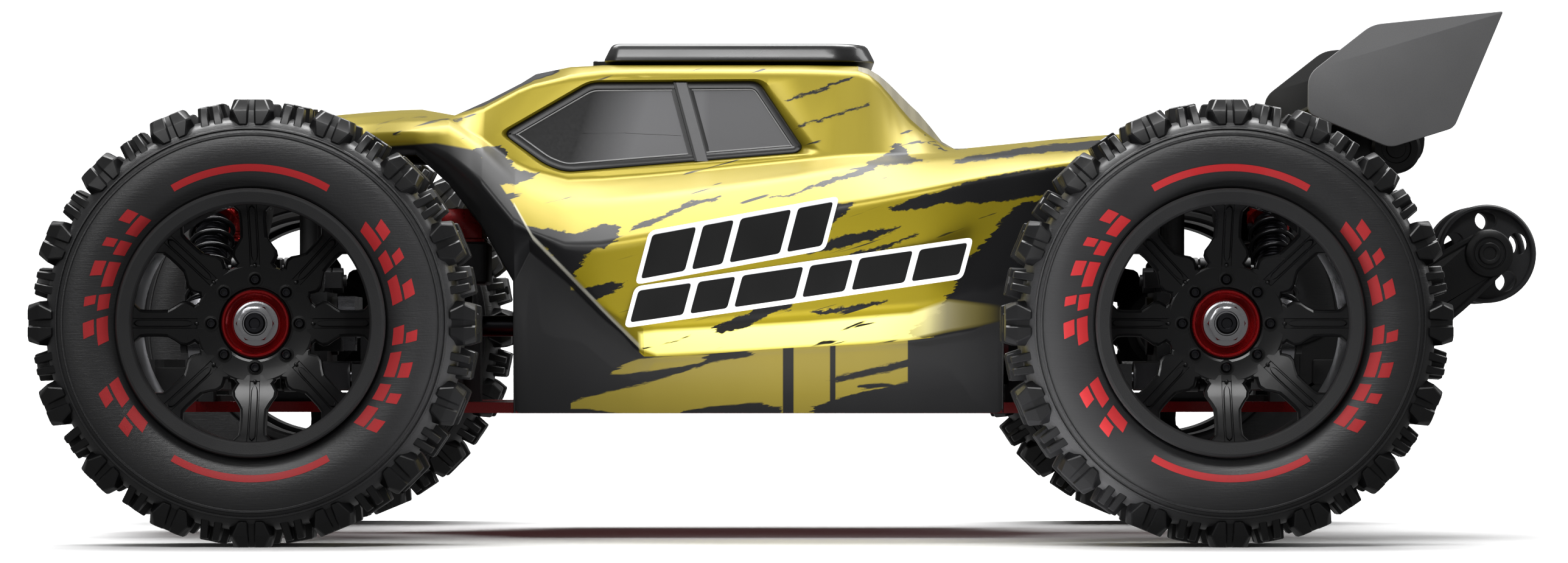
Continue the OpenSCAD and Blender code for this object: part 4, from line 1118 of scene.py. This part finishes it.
def surface_y(lower, upper, x, z):
    """How far out the flat side stands at x and z."""
    for (x0, a0), (x1, a1), (_, b0), (_, b1) in zip(lower, lower[1:], upper, upper[1:]):
        if x <= x1 or x1 == lower[-1][0]:
            t = (x - x0) / (x1 - x0)
            low, high = a0.lerp(a1, t), b0.lerp(b1, t)
            s = (z - low.y) / (high.y - low.y)
            return lerp(low.x, high.x, s)


def in_outline(x, z, outline):
    hit = False
    for i, (px, pz) in enumerate(outline):
        qx, qz = outline[i - 1]
        if (pz > z) != (qz > z) and x < (qx - px) * (z - pz) / (qz - pz) + px:
            hit = not hit
    return hit


def panel_faces(piece, lower, upper, index, n):
    """Fills the flat side round the window opening, on both sides, and adds the sloped reveal."""
    hole = rounded(REVEAL, 2.2)
    glass = rounded(GLASS, 2.0)
    edge = [(x, p.y) for x, p in lower] + [(x, p.y) for x, p in upper[::-1]]
    count = len(edge)
    coords = [Vector(p) for p in edge + hole]
    edges = [(i, (i + 1) % count) for i in range(count)]
    edges += [(count + i, count + (i + 1) % len(hole)) for i in range(len(hole))]
    verts, _, faces, origin, _, _ = delaunay_2d_cdt(coords, edges, [], 1, 1e-6)
    for s in SIDES:
        ids = []
        for v, source in zip(verts, origin):
            here = source[0] if source else None
            if here is not None and here < len(lower):
                x = lower[here][0]
                ids.append(index[x] * n + (SIDE_BASE if s > 0 else n - 1 - SIDE_BASE))
            elif here is not None and here < count:
                x = upper[count - 1 - here][0]
                ids.append(index[x] * n + (SIDE_TOP if s > 0 else n - 1 - SIDE_TOP))
            else:
                piece.points.append((v.x, s * surface_y(lower, upper, v.x, v.y), v.y))
                ids.append(len(piece.points) - 1)
        for f in faces:
            cx = sum(verts[i].x for i in f) / len(f)
            cz = sum(verts[i].y for i in f) / len(f)
            if not in_outline(cx, cz, hole) and in_outline(cx, cz, edge):
                face = tuple(ids[i] for i in f)
                a, b, c = (verts[i] for i in f[:3])
                turn = (b - a).x * (c - a).y - (b - a).y * (c - a).x
                piece.faces.append(face if (turn < 0) == (s > 0) else face[::-1])
                piece.slots.append(0)
        rim = []
        for k in range(len(hole)):
            source = next(i for i, o in enumerate(origin) if count + k in o)
            rim.append(ids[source])
        base = len(piece.points)
        for x, z in glass:
            piece.points.append((x, s * (surface_y(lower, upper, x, z) - REVEAL_DEPTH), z))
        for k in range(len(hole)):
            k2 = (k + 1) % len(hole)
            face = (rim[k], base + k, base + k2, rim[k2])
            piece.faces.append(face if s > 0 else face[::-1])
            piece.slots.append(0)


def window_piece(lower, upper):
    """Smoked panes with a glossy frame, a light inner line and a twin-ribbed pillar."""
    piece = Piece()
    outer = rounded(GLASS, 2.0)
    if not is_left_turning(outer):
        outer = outer[::-1]

    def place(outline, depth):
        return [(x, surface_y(lower, upper, x, z) - depth, z) for x, z in outline]

    def bands(levels, slot):
        rows = [place(inset(outer, d), depth) for d, depth in levels]
        points, faces = grid(rows, closed_cols=True)
        piece.add(points, [f[::-1] for f in faces], slot)

    # Frame and light line, as (in from the glass edge, depth under the side)
    bands([(-0.3, 1.7), (-0.3, 1.2), (0.0, 0.75), (0.5, 0.55), (1.45, 0.75), (1.6, 1.1)], 1)
    bands([(1.6, 1.1), (1.68, 0.95), (1.9, 0.95), (1.98, 1.1)], 2)

    def sheet(outline, depth, crown, slot, outward):
        """A pane over an outline, swelling a little towards its middle."""
        middle = Vector((sum(p[0] for p in outline), sum(p[1] for p in outline))) / len(outline)
        rows = [place(outline, depth)]
        for k in (0.8, 0.5, 0.2):
            ring = [tuple(middle.lerp(Vector(p), k)) for p in outline]
            rows.append(place(ring, depth - crown * (1 - k * k)))
        points, faces = grid(rows, closed_cols=True)
        faces.append(tuple(range(len(points) - len(outline), len(points))))
        piece.add(points, [f[::-1] for f in faces] if outward else faces, slot)

    sheet(inset(outer, 1.2), 1.1, 0.12, 0, True)
    sheet(inset(outer, -0.3), 1.7, 0.0, 1, False)

    def pillar(width, out, slot, shift):
        rows = []
        for i in range(9):
            t = i / 8
            x, z = lerp(30.0, 24.9, t) + shift, lerp(107.0, 88.2, t)
            y = surface_y(lower, upper, x, z) - 1.0
            half = [(width, -0.3), (width, out * 0.6), (width * 0.8, out)]
            rows.append([(x - w, y + h, z) for w, h in half] + [(x + w, y + h, z) for w, h in half[::-1]])
        piece.loft(rows, slot)

    pillar(2.6, 0.25, 1, 0.0)
    pillar(1.7, 0.7, 3, -0.1)
    pillar(0.35, 0.85, 1, 1.25)
    return piece


def make_shell():
    skin, lower, upper = shell_piece()
    looks = [M["paint"], M["skirt"], M["rear_glass"]]
    shell = skin.build("shell_skin", looks, None, slot="shell_gold", sheet=True)
    solid = shell.modifiers.new("wall", "SOLIDIFY")
    solid.thickness = 1.1 * MM
    solid.offset = -1
    solid.use_rim = True
    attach(shell, "chassis")
    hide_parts("body_shell")
    panes = window_piece(lower, upper)
    looks = [M["glass"], M["trim"], M["trim_light"], M["pillar"]]
    for s, side in NAMED_SIDES:
        panes.build("window_" + side, looks, "chassis", mirror=s < 0, slot="shell_gold", sheet=True)


# ------------------------------------------------------------ roof and marks


def roof_outline(x0, x1, w, front_r, rear_r):
    """Rounded plan outline, anticlockwise from the front right corner."""
    out = []
    corners = ((x1, -1, front_r, -90), (x1, 1, front_r, 0), (x0, 1, rear_r, 90), (x0, -1, rear_r, 180))
    for cx, sy, r, start in corners:
        sx = 1 if cx == x1 else -1
        for k in range(9):
            a = radians(start + 90 * k / 8)
            out.append((cx - sx * r + r * cos(a), sy * (w - r) + r * sin(a)))
    return out


def make_roof():
    lo, hi = box_mm("roof_plate")
    z0, z1 = lo.z, hi.z
    base = roof_outline(lo.x, hi.x, hi.y, 4.0, 12.0)
    steps = [
        (0.9, z0), (0.25, z0 + 0.1), (0.0, z0 + 0.35), (0.05, z0 + 0.7), (0.6, z0 + 1.8), (1.15, z0 + 2.9),
        (1.6, z0 + 3.7), (2.2, z0 + 4.2), (3.2, z1), (7.0, z1), (7.4, z1 - 0.15), (7.8, z1 - 1.0),
        (8.2, z1 - 1.2),
    ]
    piece = Piece().loft([at_z(inset(base, d), z) for d, z in steps])
    for y in (-16, -8, 0, 8, 16):
        rib = rounded(box_outline(lo.x + 20, hi.x - 14, y - 1.2, y + 1.2), 1.1)
        piece.loft([at_z(rib, z1 - 1.3), at_z(inset(rib, 0.1), z1 - 0.5), at_z(inset(rib, 0.4), z1 - 0.35)])
    lip = rounded([(hi.x - 1.5, -22), (hi.x + 3.0, -20), (hi.x + 3.0, 20), (hi.x - 1.5, 22)], 1.2)
    piece.loft([at_z(lip, z0 - 0.3), at_z(lip, z0 + 0.7), at_z(inset(lip, 0.3), z0 + 0.9)])
    made = piece.build("roof_cover", [M["roof"], M["dark_steel"]], "chassis", slot="roof_black")
    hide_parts("roof_plate")


DOOR_Y = 78.0
# Rows of bars on a door: start and end as (x, z), height, and the bars' relative widths
BAR_ROWS = [
    ((41, 50.4), (-34.5, 61.4), 7.0, (1.0, 0.7, 1.15, 0.8, 1.0, 0.9)),
    ((38.5, 60.4), (-3, 68.0), 9.6, (1.0, 0.7, 1.15, 0.8)),
]
BAR_GAP = 1.6
BAR_EDGE = 1.1
BAR_LEAN = 0.28


def make_side_marks():
    """Two rows of slanted bars with a pale edge, on each door."""
    piece = Piece()

    def slab(outline, y0, y1, slot):
        if not is_left_turning(outline):
            outline = outline[::-1]
        piece.loft([at_y(outline[::-1], DOOR_Y + y0), at_y(outline[::-1], DOOR_Y + y1)], slot)

    for start, end, tall, widths in BAR_ROWS:
        dx, dz = end[0] - start[0], end[1] - start[1]
        length = hypot(dx, dz)

        def leaning(u0, u1, v0, v1):
            """Corners of a leaning bar: u along the row, v up."""
            spots = [((u + BAR_LEAN * v) / length, v) for u, v in box_outline(u0, u1, v0, v1)]
            return [(start[0] + dx * k, start[1] + dz * k + v) for k, v in spots]

        back = leaning(-BAR_EDGE, length + BAR_EDGE, -BAR_EDGE, tall + BAR_EDGE)
        slab(rounded(back, 1.6), -0.2, 0.12, 0)
        unit = (length - BAR_GAP * (len(widths) - 1)) / sum(widths)
        u = 0.0
        for w in widths:
            slab(rounded(leaning(u, u + w * unit, 0, tall), 0.8), -0.1, 0.22, 1)
            u += w * unit + BAR_GAP
    for s, side in NAMED_SIDES:
        piece.build("side_bars_" + side, [M["white"], M["ink"]], "chassis", mirror=s < 0, slot="shell_gold")


# --------------------------------------------------------------------- rear

END_PLATE = [(-160.8, 122.5), (-149.4, 95.5), (-134.6, 90.9), (-115.6, 98.9), (-115.7, 107.9),
             (-130.4, 119.4)]
# The blade's middle line from front to rear: x, z and half the thickness
BLADE = [
    (-117.2, 100.9, 0.35), (-121, 100.3, 0.8), (-126, 100.2, 1.0), (-132, 100.6, 1.0), (-138, 101.4, 1.0),
    (-144, 103.2, 1.0), (-149.3, 105.6, 0.9), (-153, 109.2, 0.8), (-156.6, 115.2, 0.5),
]
WING_RIB = [(-120, 101.0), (-132, 101.4), (-144, 103.9), (-150.5, 108.2), (-149.5, 108.8), (-143, 105.2),
            (-132, 103.2), (-121, 102.2)]


def make_wing():
    side_y = box_mm("wing")[1].y
    outline = rounded(END_PLATE, [0.7, 1.5, 2.0, 1.6, 2.6, 2.2], 5)
    plates = Piece()
    points, faces = plate_xz(outline, side_y - 2.0, side_y, 0.22)
    # The outer face and rims of each end plate are grey; the inner face is painted black as painted shade,
    # for the far plate seen in shadow
    for f in faces:
        depths = [side_y - points[i][1] for i in f]
        outer = max(depths) < 1.2 or len(f) == 4 and min(depths) < 0.5
        plates.slots.append(0 if outer else 1)
    plates.faces += faces
    plates.points += points
    for x, z in ((-124, 100.9), (-146, 104.3), (-152.5, 109.5)):
        plates.put(socket_screw(1.3, 0.5, 2), towards((x, side_y - 2.3, z), (0, -1, 0)))
    for s, side in NAMED_SIDES:
        looks = [M["grey"], M["inner"], M["dark_steel"]]
        made = plates.build("wing_end_" + side, looks, "chassis", mirror=s < 0, slot="wing_grey")
        if s > 0:
            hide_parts("wing")
    width = side_y - 1.9
    section = [(x, z + t) for x, z, t in BLADE] + [(x, z - t) for x, z, t in BLADE[::-1]]
    points, faces = lofted([at_y(section, lerp(-width, width, k / 24)) for k in range(25)])
    blade = Piece().add(points, [f[::-1] for f in faces])
    for y in (-44, -22, 0, 22, 44):
        blade.plate(WING_RIB, y - 0.7, y + 0.7, 0.25)
    flap = [(-155.6, 113.8), (-157.2, 116.4), (-156.4, 116.9), (-154.8, 114.4)]
    blade.plate(flap, -width, width, 0.2)
    blade.build("wing_blade", [M["inner"]], "chassis", slot="wing_grey", sharp=40)


def make_wing_mount():
    back = box_mm("wing_mount")[1].x
    piece = Piece()
    outline = [(back, 69), (back, 77.6), (back - 13, 86), (-126, 98.8), (-138, 100), (-146, 101.6),
               (-148.4, 96), (-147.6, 90.2), (-141, 86.2), (-128, 85), (back - 12, 72)]
    outline = rounded(outline, [1, 1.4, 3, 3, 3, 3, 4, 4, 4, 4, 3], 4)
    hole = rounded([(-129, 88.5), (-132, 94), (-127, 95), (-110, 84), (-108, 77.5)], 2.0)
    for s in SIDES:
        piece.plate(outline, *sorted((s * 9, s * 12)), 0.4)
        piece.plate(hole, s * 12 - 0.25, s * 12 + 0.25, 0.1, 1)
    boss = both_ends([(0, 15), (2.2, 15), (2.4, 14.4), (3.4, 14.4), (3.6, 15), (5.2, 15), (5.9, 14.4),
                      (6.0, 13.5)])
    piece.put(Piece().turned(boss, 48), Matrix.Translation((-141, 0, 92.4)))
    piece.plate(rounded(box_outline(back - 4, back, 70, 77), 0.6), -12, 12, 0.4)
    for z in (71.6, 75.4):
        for y in (-6, 6):
            piece.put(socket_screw(1.2, 0.8, 2), towards((back - 4, y, z), (-1, 0, 0)))
    made = piece.build("wing_stay", [M["tower"], M["inner"], M["dark_steel"]], "chassis", slot="bar_black")
    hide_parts("wing_mount")


def make_wheelie():
    axle = centre_mm("wheelie_wheels")
    ax, az = axle.x, axle.z
    foot = box_mm("wheelie_bar")[1].x
    piece = Piece()
    arm = [(foot, 31.9), (foot, 46), (foot - 6, 47.5), (ax + 10.7, az + 0.8), (ax + 3.2, az + 4.8),
           (ax - 3.4, az - 4.7), (ax + 7.7, az - 15.2), (foot - 14, 33.9)]
    arm = rounded(arm, [1, 1.5, 4, 3, 1, 1, 5, 4], 4)
    if not is_left_turning(arm):
        arm = arm[::-1]
    cap = [(0, 20.5), (1.5, 20.5), (1.6, 20.9), (1.9, 21.0), (2.4, 21.0), (2.6, 20.8), (2.7, 20.2),
           (3.5, 20.2), (3.6, 19.9), (3.85, 19.9), (3.95, 20.3), (5.0, 20.2), (5.5, 19.9), (5.8, 19.3),
           (5.8, 16.4), (0, 16.4)]
    flange = ((0.0, 16.5), (0.0, 19.2), (0.3, 19.5), (1.0, 19.5), (1.3, 19.2), (1.3, 16.5))
    for s in SIDES:
        piece.plate(inset(arm, 1.0), *sorted((s * 17.2, s * 18.8)), 0.2)
        rows = [at_y(inset(arm, d), s * y) for d, y in flange]
        piece.add(*grid(rows, closed_rows=True, closed_cols=True))
        piece.put(Piece().turned(cap, 48), Matrix.Translation((ax, 0, az)) @ FACING[s])
    for bar in ((foot - 12, foot - 6, 36, 42), (foot - 3, foot, 31.9, 46)):
        piece.plate(rounded(box_outline(*bar), 0.8), -19.4, 19.4, 0.3)
    for y in (-12, 12):
        piece.put(socket_screw(1.5, 1.0, 1), towards((foot - 3, y, 43), (-1, 0, 0)))
    made = piece.build("wheelie_frame", [M["bar"], M["dark_steel"]], "chassis", slot="bar_black")
    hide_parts("wheelie_bar")
    lo, hi = box_mm("wheelie_wheels")
    make_wheelie_wheels(ax, az, (hi.z - lo.z) / 2)


def holed_disc(piece, r_in, r_out, y_face, y_back, holes, hole_at, hole_r, slot):
    """A disc with oval holes: sectors of quads from each hole's edge to the rims."""
    steps = 48
    for i in range(holes):
        mid = i * 360 / holes
        inner, outer = [], []
        for k in range(steps):
            up, across = cos(2 * pi * k / steps), sin(2 * pi * k / steps)
            t, r = hole_r * 1.15 * across, hole_at + hole_r * up
            inner.append((mid + degrees(atan2(t, r)), hypot(t, r)))
            q = 1 / max(abs(up), abs(across))
            r = (r_out + r_in) / 2 + (r_out - r_in) / 2 * up * q
            outer.append((mid + 180 / holes * across * q, r))
        sides = ((outer, y_face), (inner, y_face), (inner, y_back), (outer, y_back))
        rows = [[around(a, 0, y, r) for a, r in line] for line, y in sides]
        piece.add(*grid(rows, closed_cols=True), slot)


def make_wheelie_wheels(ax, az, radius):
    piece = Piece()
    for s in SIDES:
        one = Piece()
        tread = both_ends([(10.6, 2.0), (10.6, 3.7), (10.9, 4.0), (11.4, 4.0), (radius, 3.5)])
        one.turned(tread, 64, 0)
        hub = both_ends([(1.55, 4.0), (5.0, 4.0), (5.4, 3.6), (5.6, 2.0)])
        one.turned(hub, 48, 0)
        holed_disc(one, 5.3, 10.8, 2.2, -2.2, 5, 8.1, 2.35, 0)
        piece.put(one, Matrix.Translation((0, s * 11, 0)) @ FACING[s])
    pin = both_ends([(0, 20.45), (1.3, 20.45), (1.45, 20.3)])
    piece.turned(pin, 32, 1)
    looks = [M["small_wheel"], M["dark_steel"]]
    made = piece.build("wheelie_rollers", looks, "wheelie_wheels", origin=(ax, 0, az), slot="wheelie_grey")
    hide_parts("wheelie_wheels")


# -------------------------------------------------------- springs and dampers

# Upper and lower shock eyes: out from the centre line, above the ground
SHOCK_TOP = (32.0, 83.0)
SHOCK_LOW = (62.0, 46.0)


def shock_line(c):
    """A shock's upper eye and the direction to its lower eye."""
    s = 1 if c[1] == "l" else -1
    x = centre_mm("spring_" + c).x
    top, low = (Vector((x, s * out, up)) for out, up in (SHOCK_TOP, SHOCK_LOW))
    return top, (low - top).normalized()


def make_springs():
    seat_top, seat_low, coil_r, wire = 11.0, 39.13, 4.9, 0.62
    side = Vector((1, 0, 0))
    for c in CORNERS:
        top, along = shock_line(c)
        other = along.cross(side)
        path = []
        turns, steps = 7, 22
        for i in range(turns * steps + 1):
            f = i / (turns * steps)
            flat = min(1.0, f * turns / 0.8, (1 - f) * turns / 0.8)
            d = lerp(seat_top + wire, seat_low - wire, (f - 0.5) * (0.94 + 0.06 * flat) / 0.97 + 0.5)
            a = 2 * pi * turns * f
            path.append(top + along * d + (side * cos(a) + other * sin(a)) * coil_r)
        piece = Piece().add(*tube(path, wire, 8), 0)
        made = piece.build("coil_" + c, [M["spring"]], None, slot="spring_black", sharp=60)
        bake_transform(made)
        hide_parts("spring_" + c)


def damper_piece():
    """Threaded damper body with its knurled cap and spring collar, standing along Y from the upper eye."""
    piece = Piece()

    def cap(i, _):
        r = 4.9 - (0.16 if i % 2 else 0.0)
        return [(0.5, 3.6), (3.9, 3.6), (4.5, 3.9), (r, 4.4), (r, 7.6), (4.6, 7.9), (4.6, 8.3), (4.9, 8.5),
                (4.9, 9.0), (0.5, 9.0)][::-1]

    def collar(i, _):
        k = 0.5 if i % 4 < 2 else 0.0
        return [(3.6, 9.0), (5.2 - k, 9.0), (5.55 - k, 9.25), (5.55 - k, 10.2), (5.55, 10.3), (5.55, 10.8),
                (5.4, 11.0), (3.6, 11.0)][::-1]

    for section, steps in ((cap, 36), (collar, 48)):
        piece.add(*grid(ring_rows(section, steps), closed_rows=True, closed_cols=True), 0)
    thread = [(1.4, 9.0), (3.5, 9.0)]
    pitch, ridges = 0.9, 15
    for i in range(ridges):
        y = 11.0 + pitch * i
        thread += [(3.5, y), (3.88, y + 0.3), (3.88, y + 0.5), (3.5, y + 0.8)]
    thread += [(3.9, 24.6), (3.9, 25.7), (3.6, 26.0), (1.4, 26.0)]
    piece.turned(thread, 32, 1)
    eye = Piece().turned([(1.6, -3.5), (3.6, -3.5), (3.95, -3.2), (3.95, 3.2), (3.6, 3.5), (1.6, 3.5)], 32)
    piece.put(eye, Matrix.Rotation(radians(90), 4, "Z"))
    neck = [at_y(box_outline(-2.4, 2.4, -2.4, 2.4), y) for y in (3.0, 3.8)]
    piece.add(*bevelled(*lofted(neck), 0.2, 1), 0)
    return piece


def make_dampers():
    damper = damper_piece()
    for c in CORNERS:
        top, along = shock_line(c)
        piece = Piece().put(damper, towards((0, 0, 0), along))
        made = piece.build("damper_" + c, [M["shock"], M["dark_steel"]], "shock_body_" + c, origin=top,
                           slot="shock_red")
        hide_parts("shock_body_" + c)


def slab_xy(low, high, edge=0.5, steps=3):
    """A block with rounded upright corners and eased rims, between two corners."""
    (x0, y0, z0), (x1, y1, z1) = low, high
    outline = rounded(box_outline(x0, x1, y0, y1), edge * 2, steps)
    lip = edge * 0.6
    small = inset(outline, lip)
    return lofted([at_z(small, z0), at_z(outline, z0 + lip), at_z(outline, z1 - lip), at_z(small, z1)])


def make_esc():
    """Speed controller: black case with a finned red heat sink, on a bridge over the servo."""
    lo, hi = box_mm("esc")
    deck, top = 60.0, 70.0
    piece = Piece()
    piece.add(*slab_xy((lo.x, -15.9, deck), (hi.x, 15.9, top), 0.9), 0)
    piece.add(*slab_xy((lo.x + 0.5, -15.2, top - 0.2), (lo.x + 13, 15.2, top + 1.0), 0.5), 1)
    for i in range(12):
        y = -14.3 + 2.6 * i
        fin = [(lo.x + 1.1, top + 0.8), (lo.x + 10.9, top + 0.8), (lo.x + 10.9, hi.z - 2.2),
               (lo.x + 9.6, hi.z), (lo.x + 2.4, hi.z), (lo.x + 1.1, hi.z - 2.2)]
        piece.plate(fin, y - 0.45, y + 0.45, 0.2, 1)
    for y in (-9, -1.5):
        can = [(0, 0), (2.9, 0), (3.1, 0.4), (3.1, 8.6), (2.9, 9.0), (2.4, 9.0), (2.2, 8.6), (0, 8.6)]
        piece.put(Piece().turned(can, 28, 2), towards((hi.x - 10, y, top + 2.6), (1, 0, 0)))
    for y in (6, 9.5, 13):
        tab = [(hi.x - 9, top - 0.2), (hi.x - 2, top - 0.2), (hi.x - 2, top + 1.6), (hi.x - 3, top + 2.4),
               (hi.x - 9, top + 0.6)]
        piece.plate(tab, y - 0.9, y + 0.9, 0.15, 3)
    piece.add(*slab_xy((lo.x + 5, lo.y, deck - 2), (lo.x + 11, hi.y, deck), 0.4), 0)
    for s in SIDES:
        y0, y1 = sorted((s * (hi.y - 3), s * hi.y))
        piece.add(*slab_xy((lo.x + 5, y0, lo.z), (lo.x + 11, y1, deck), 0.4), 0)
        for x in (lo.x + 2, hi.x - 2):
            screw = socket_screw(1.1, 0.7, 3)
            piece.put(screw, towards((x, s * 13.6, top + (0.9 if x < lo.x + 13 else -0.1)), (0, 0, 1)))
    made = piece.build("speed_controller", [M["servo"], M["esc"], M["battery"], M["dark_steel"]], "chassis",
                       slot="esc_red")
    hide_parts("esc")


# ------------------------------------------------------------ floor and light


def see_through_back(g):
    """Lets a sheet be seen only from its front, so that a view from behind it isn't shut off."""
    side = g.node("NewGeometry", ()).outputs["Backfacing"]
    clear = g.node("BsdfTransparent", ()).outputs[0]
    both = g.node("MixShader", (side, g.shader.outputs[0], clear))
    g.link(both.outputs[0], g.tree.nodes["Material Output"].inputs["Surface"])


def make_stage():
    """A pale floor that curves up into a backdrop behind the model."""
    floor = bpy.data.meshes.new("floor")
    line = [(3.0, 0.0), (-1.2, 0.0)]
    for k in range(1, 13):
        a = radians(90 * k / 12)
        line.append((-1.2 - 0.9 * sin(a), 0.9 * (1 - cos(a))))
    line.append((-2.1, 3.2))
    rows = [[(x, y, z) for x in (-6.0, 6.0)] for y, z in line]
    points, faces = grid(rows)
    floor.from_pydata(points, [], [f[::-1] for f in faces])
    floor.shade_smooth()
    g = Graph("floor_white", rough=0.85)
    g.set("Base Color", g.mix(g.grain(0.01, 2), (246, 246, 246), (252, 252, 252)))
    see_through_back(g)
    floor.materials.append(g.material)
    thing = bpy.data.objects.new("floor", floor)
    thing.visible_glossy = False
    thing.visible_diffuse = False
    bpy.context.scene.collection.objects.link(thing)


def area_light(name, place, target, size, power, mirrored=True):
    data = bpy.data.lights.new(name, "AREA")
    data.shape = "RECTANGLE"
    data.size, data.size_y = size
    data.energy = power
    lamp = bpy.data.objects.new(name, data)
    bpy.context.scene.collection.objects.link(lamp)
    lamp.location = place
    lamp.visible_camera = False
    lamp.visible_glossy = mirrored
    lamp.rotation_mode = "QUATERNION"
    lamp.rotation_quaternion = (Vector(target) - Vector(place)).to_track_quat("-Z", "Y")


def make_lights():
    world = bpy.data.worlds.new("studio")
    bpy.context.scene.world = world
    world.use_nodes = True
    back = world.node_tree.nodes["Background"]
    back.inputs["Color"].default_value = (1.0, 1.0, 1.0, 1.0)
    back.inputs["Strength"].default_value = 0.16
    area_light("overhead", (0.1, -0.42, 1.2), (0, 0, 0), (1.5, 0.8), 28)
    area_light("front_fill", (0.7, 1.5, 0.9), (0, 0, 0.05), (1.0, 0.7), 4)
    area_light("front_top", (0.1, 1.0, 1.35), (0, 0, 0.05), (1.3, 0.4), 14)
    area_light("sill_bounce", (-0.005, 0.15, 0.004), (-0.005, 0.13, 1), (0.12, 0.1), 0.4, mirrored=False)
    area_light("backdrop", (0.0, -0.9, 1.6), (0, -2.1, 0.6), (3.0, 0.8), 48)
    area_light("rim", (-1.1, -0.5, 0.7), (0, 0, 0.05), (0.6, 0.6), 3)


def make_camera():
    data = bpy.data.cameras.new("camera")
    data.sensor_width = 36
    data.lens = 148.8
    data.shift_x = 0.0148
    data.shift_y = 0.0495
    data.clip_start = 0.05
    data.clip_end = 50
    cam = bpy.data.objects.new("camera", data)
    bpy.context.scene.collection.objects.link(cam)
    cam.location = (0.011, 1.565, 0.042)
    cam.rotation_euler = (radians(90), 0, radians(180))
    bpy.context.scene.camera = cam
    bpy.context.scene.view_settings.view_transform = "Standard"


make_camera()
make_stage()
make_lights()
dress_cad()
make_wheels()
make_shell()
make_roof()
make_side_marks()
make_wing()
make_wing_mount()
make_wheelie()
make_springs()
make_dampers()
make_esc()
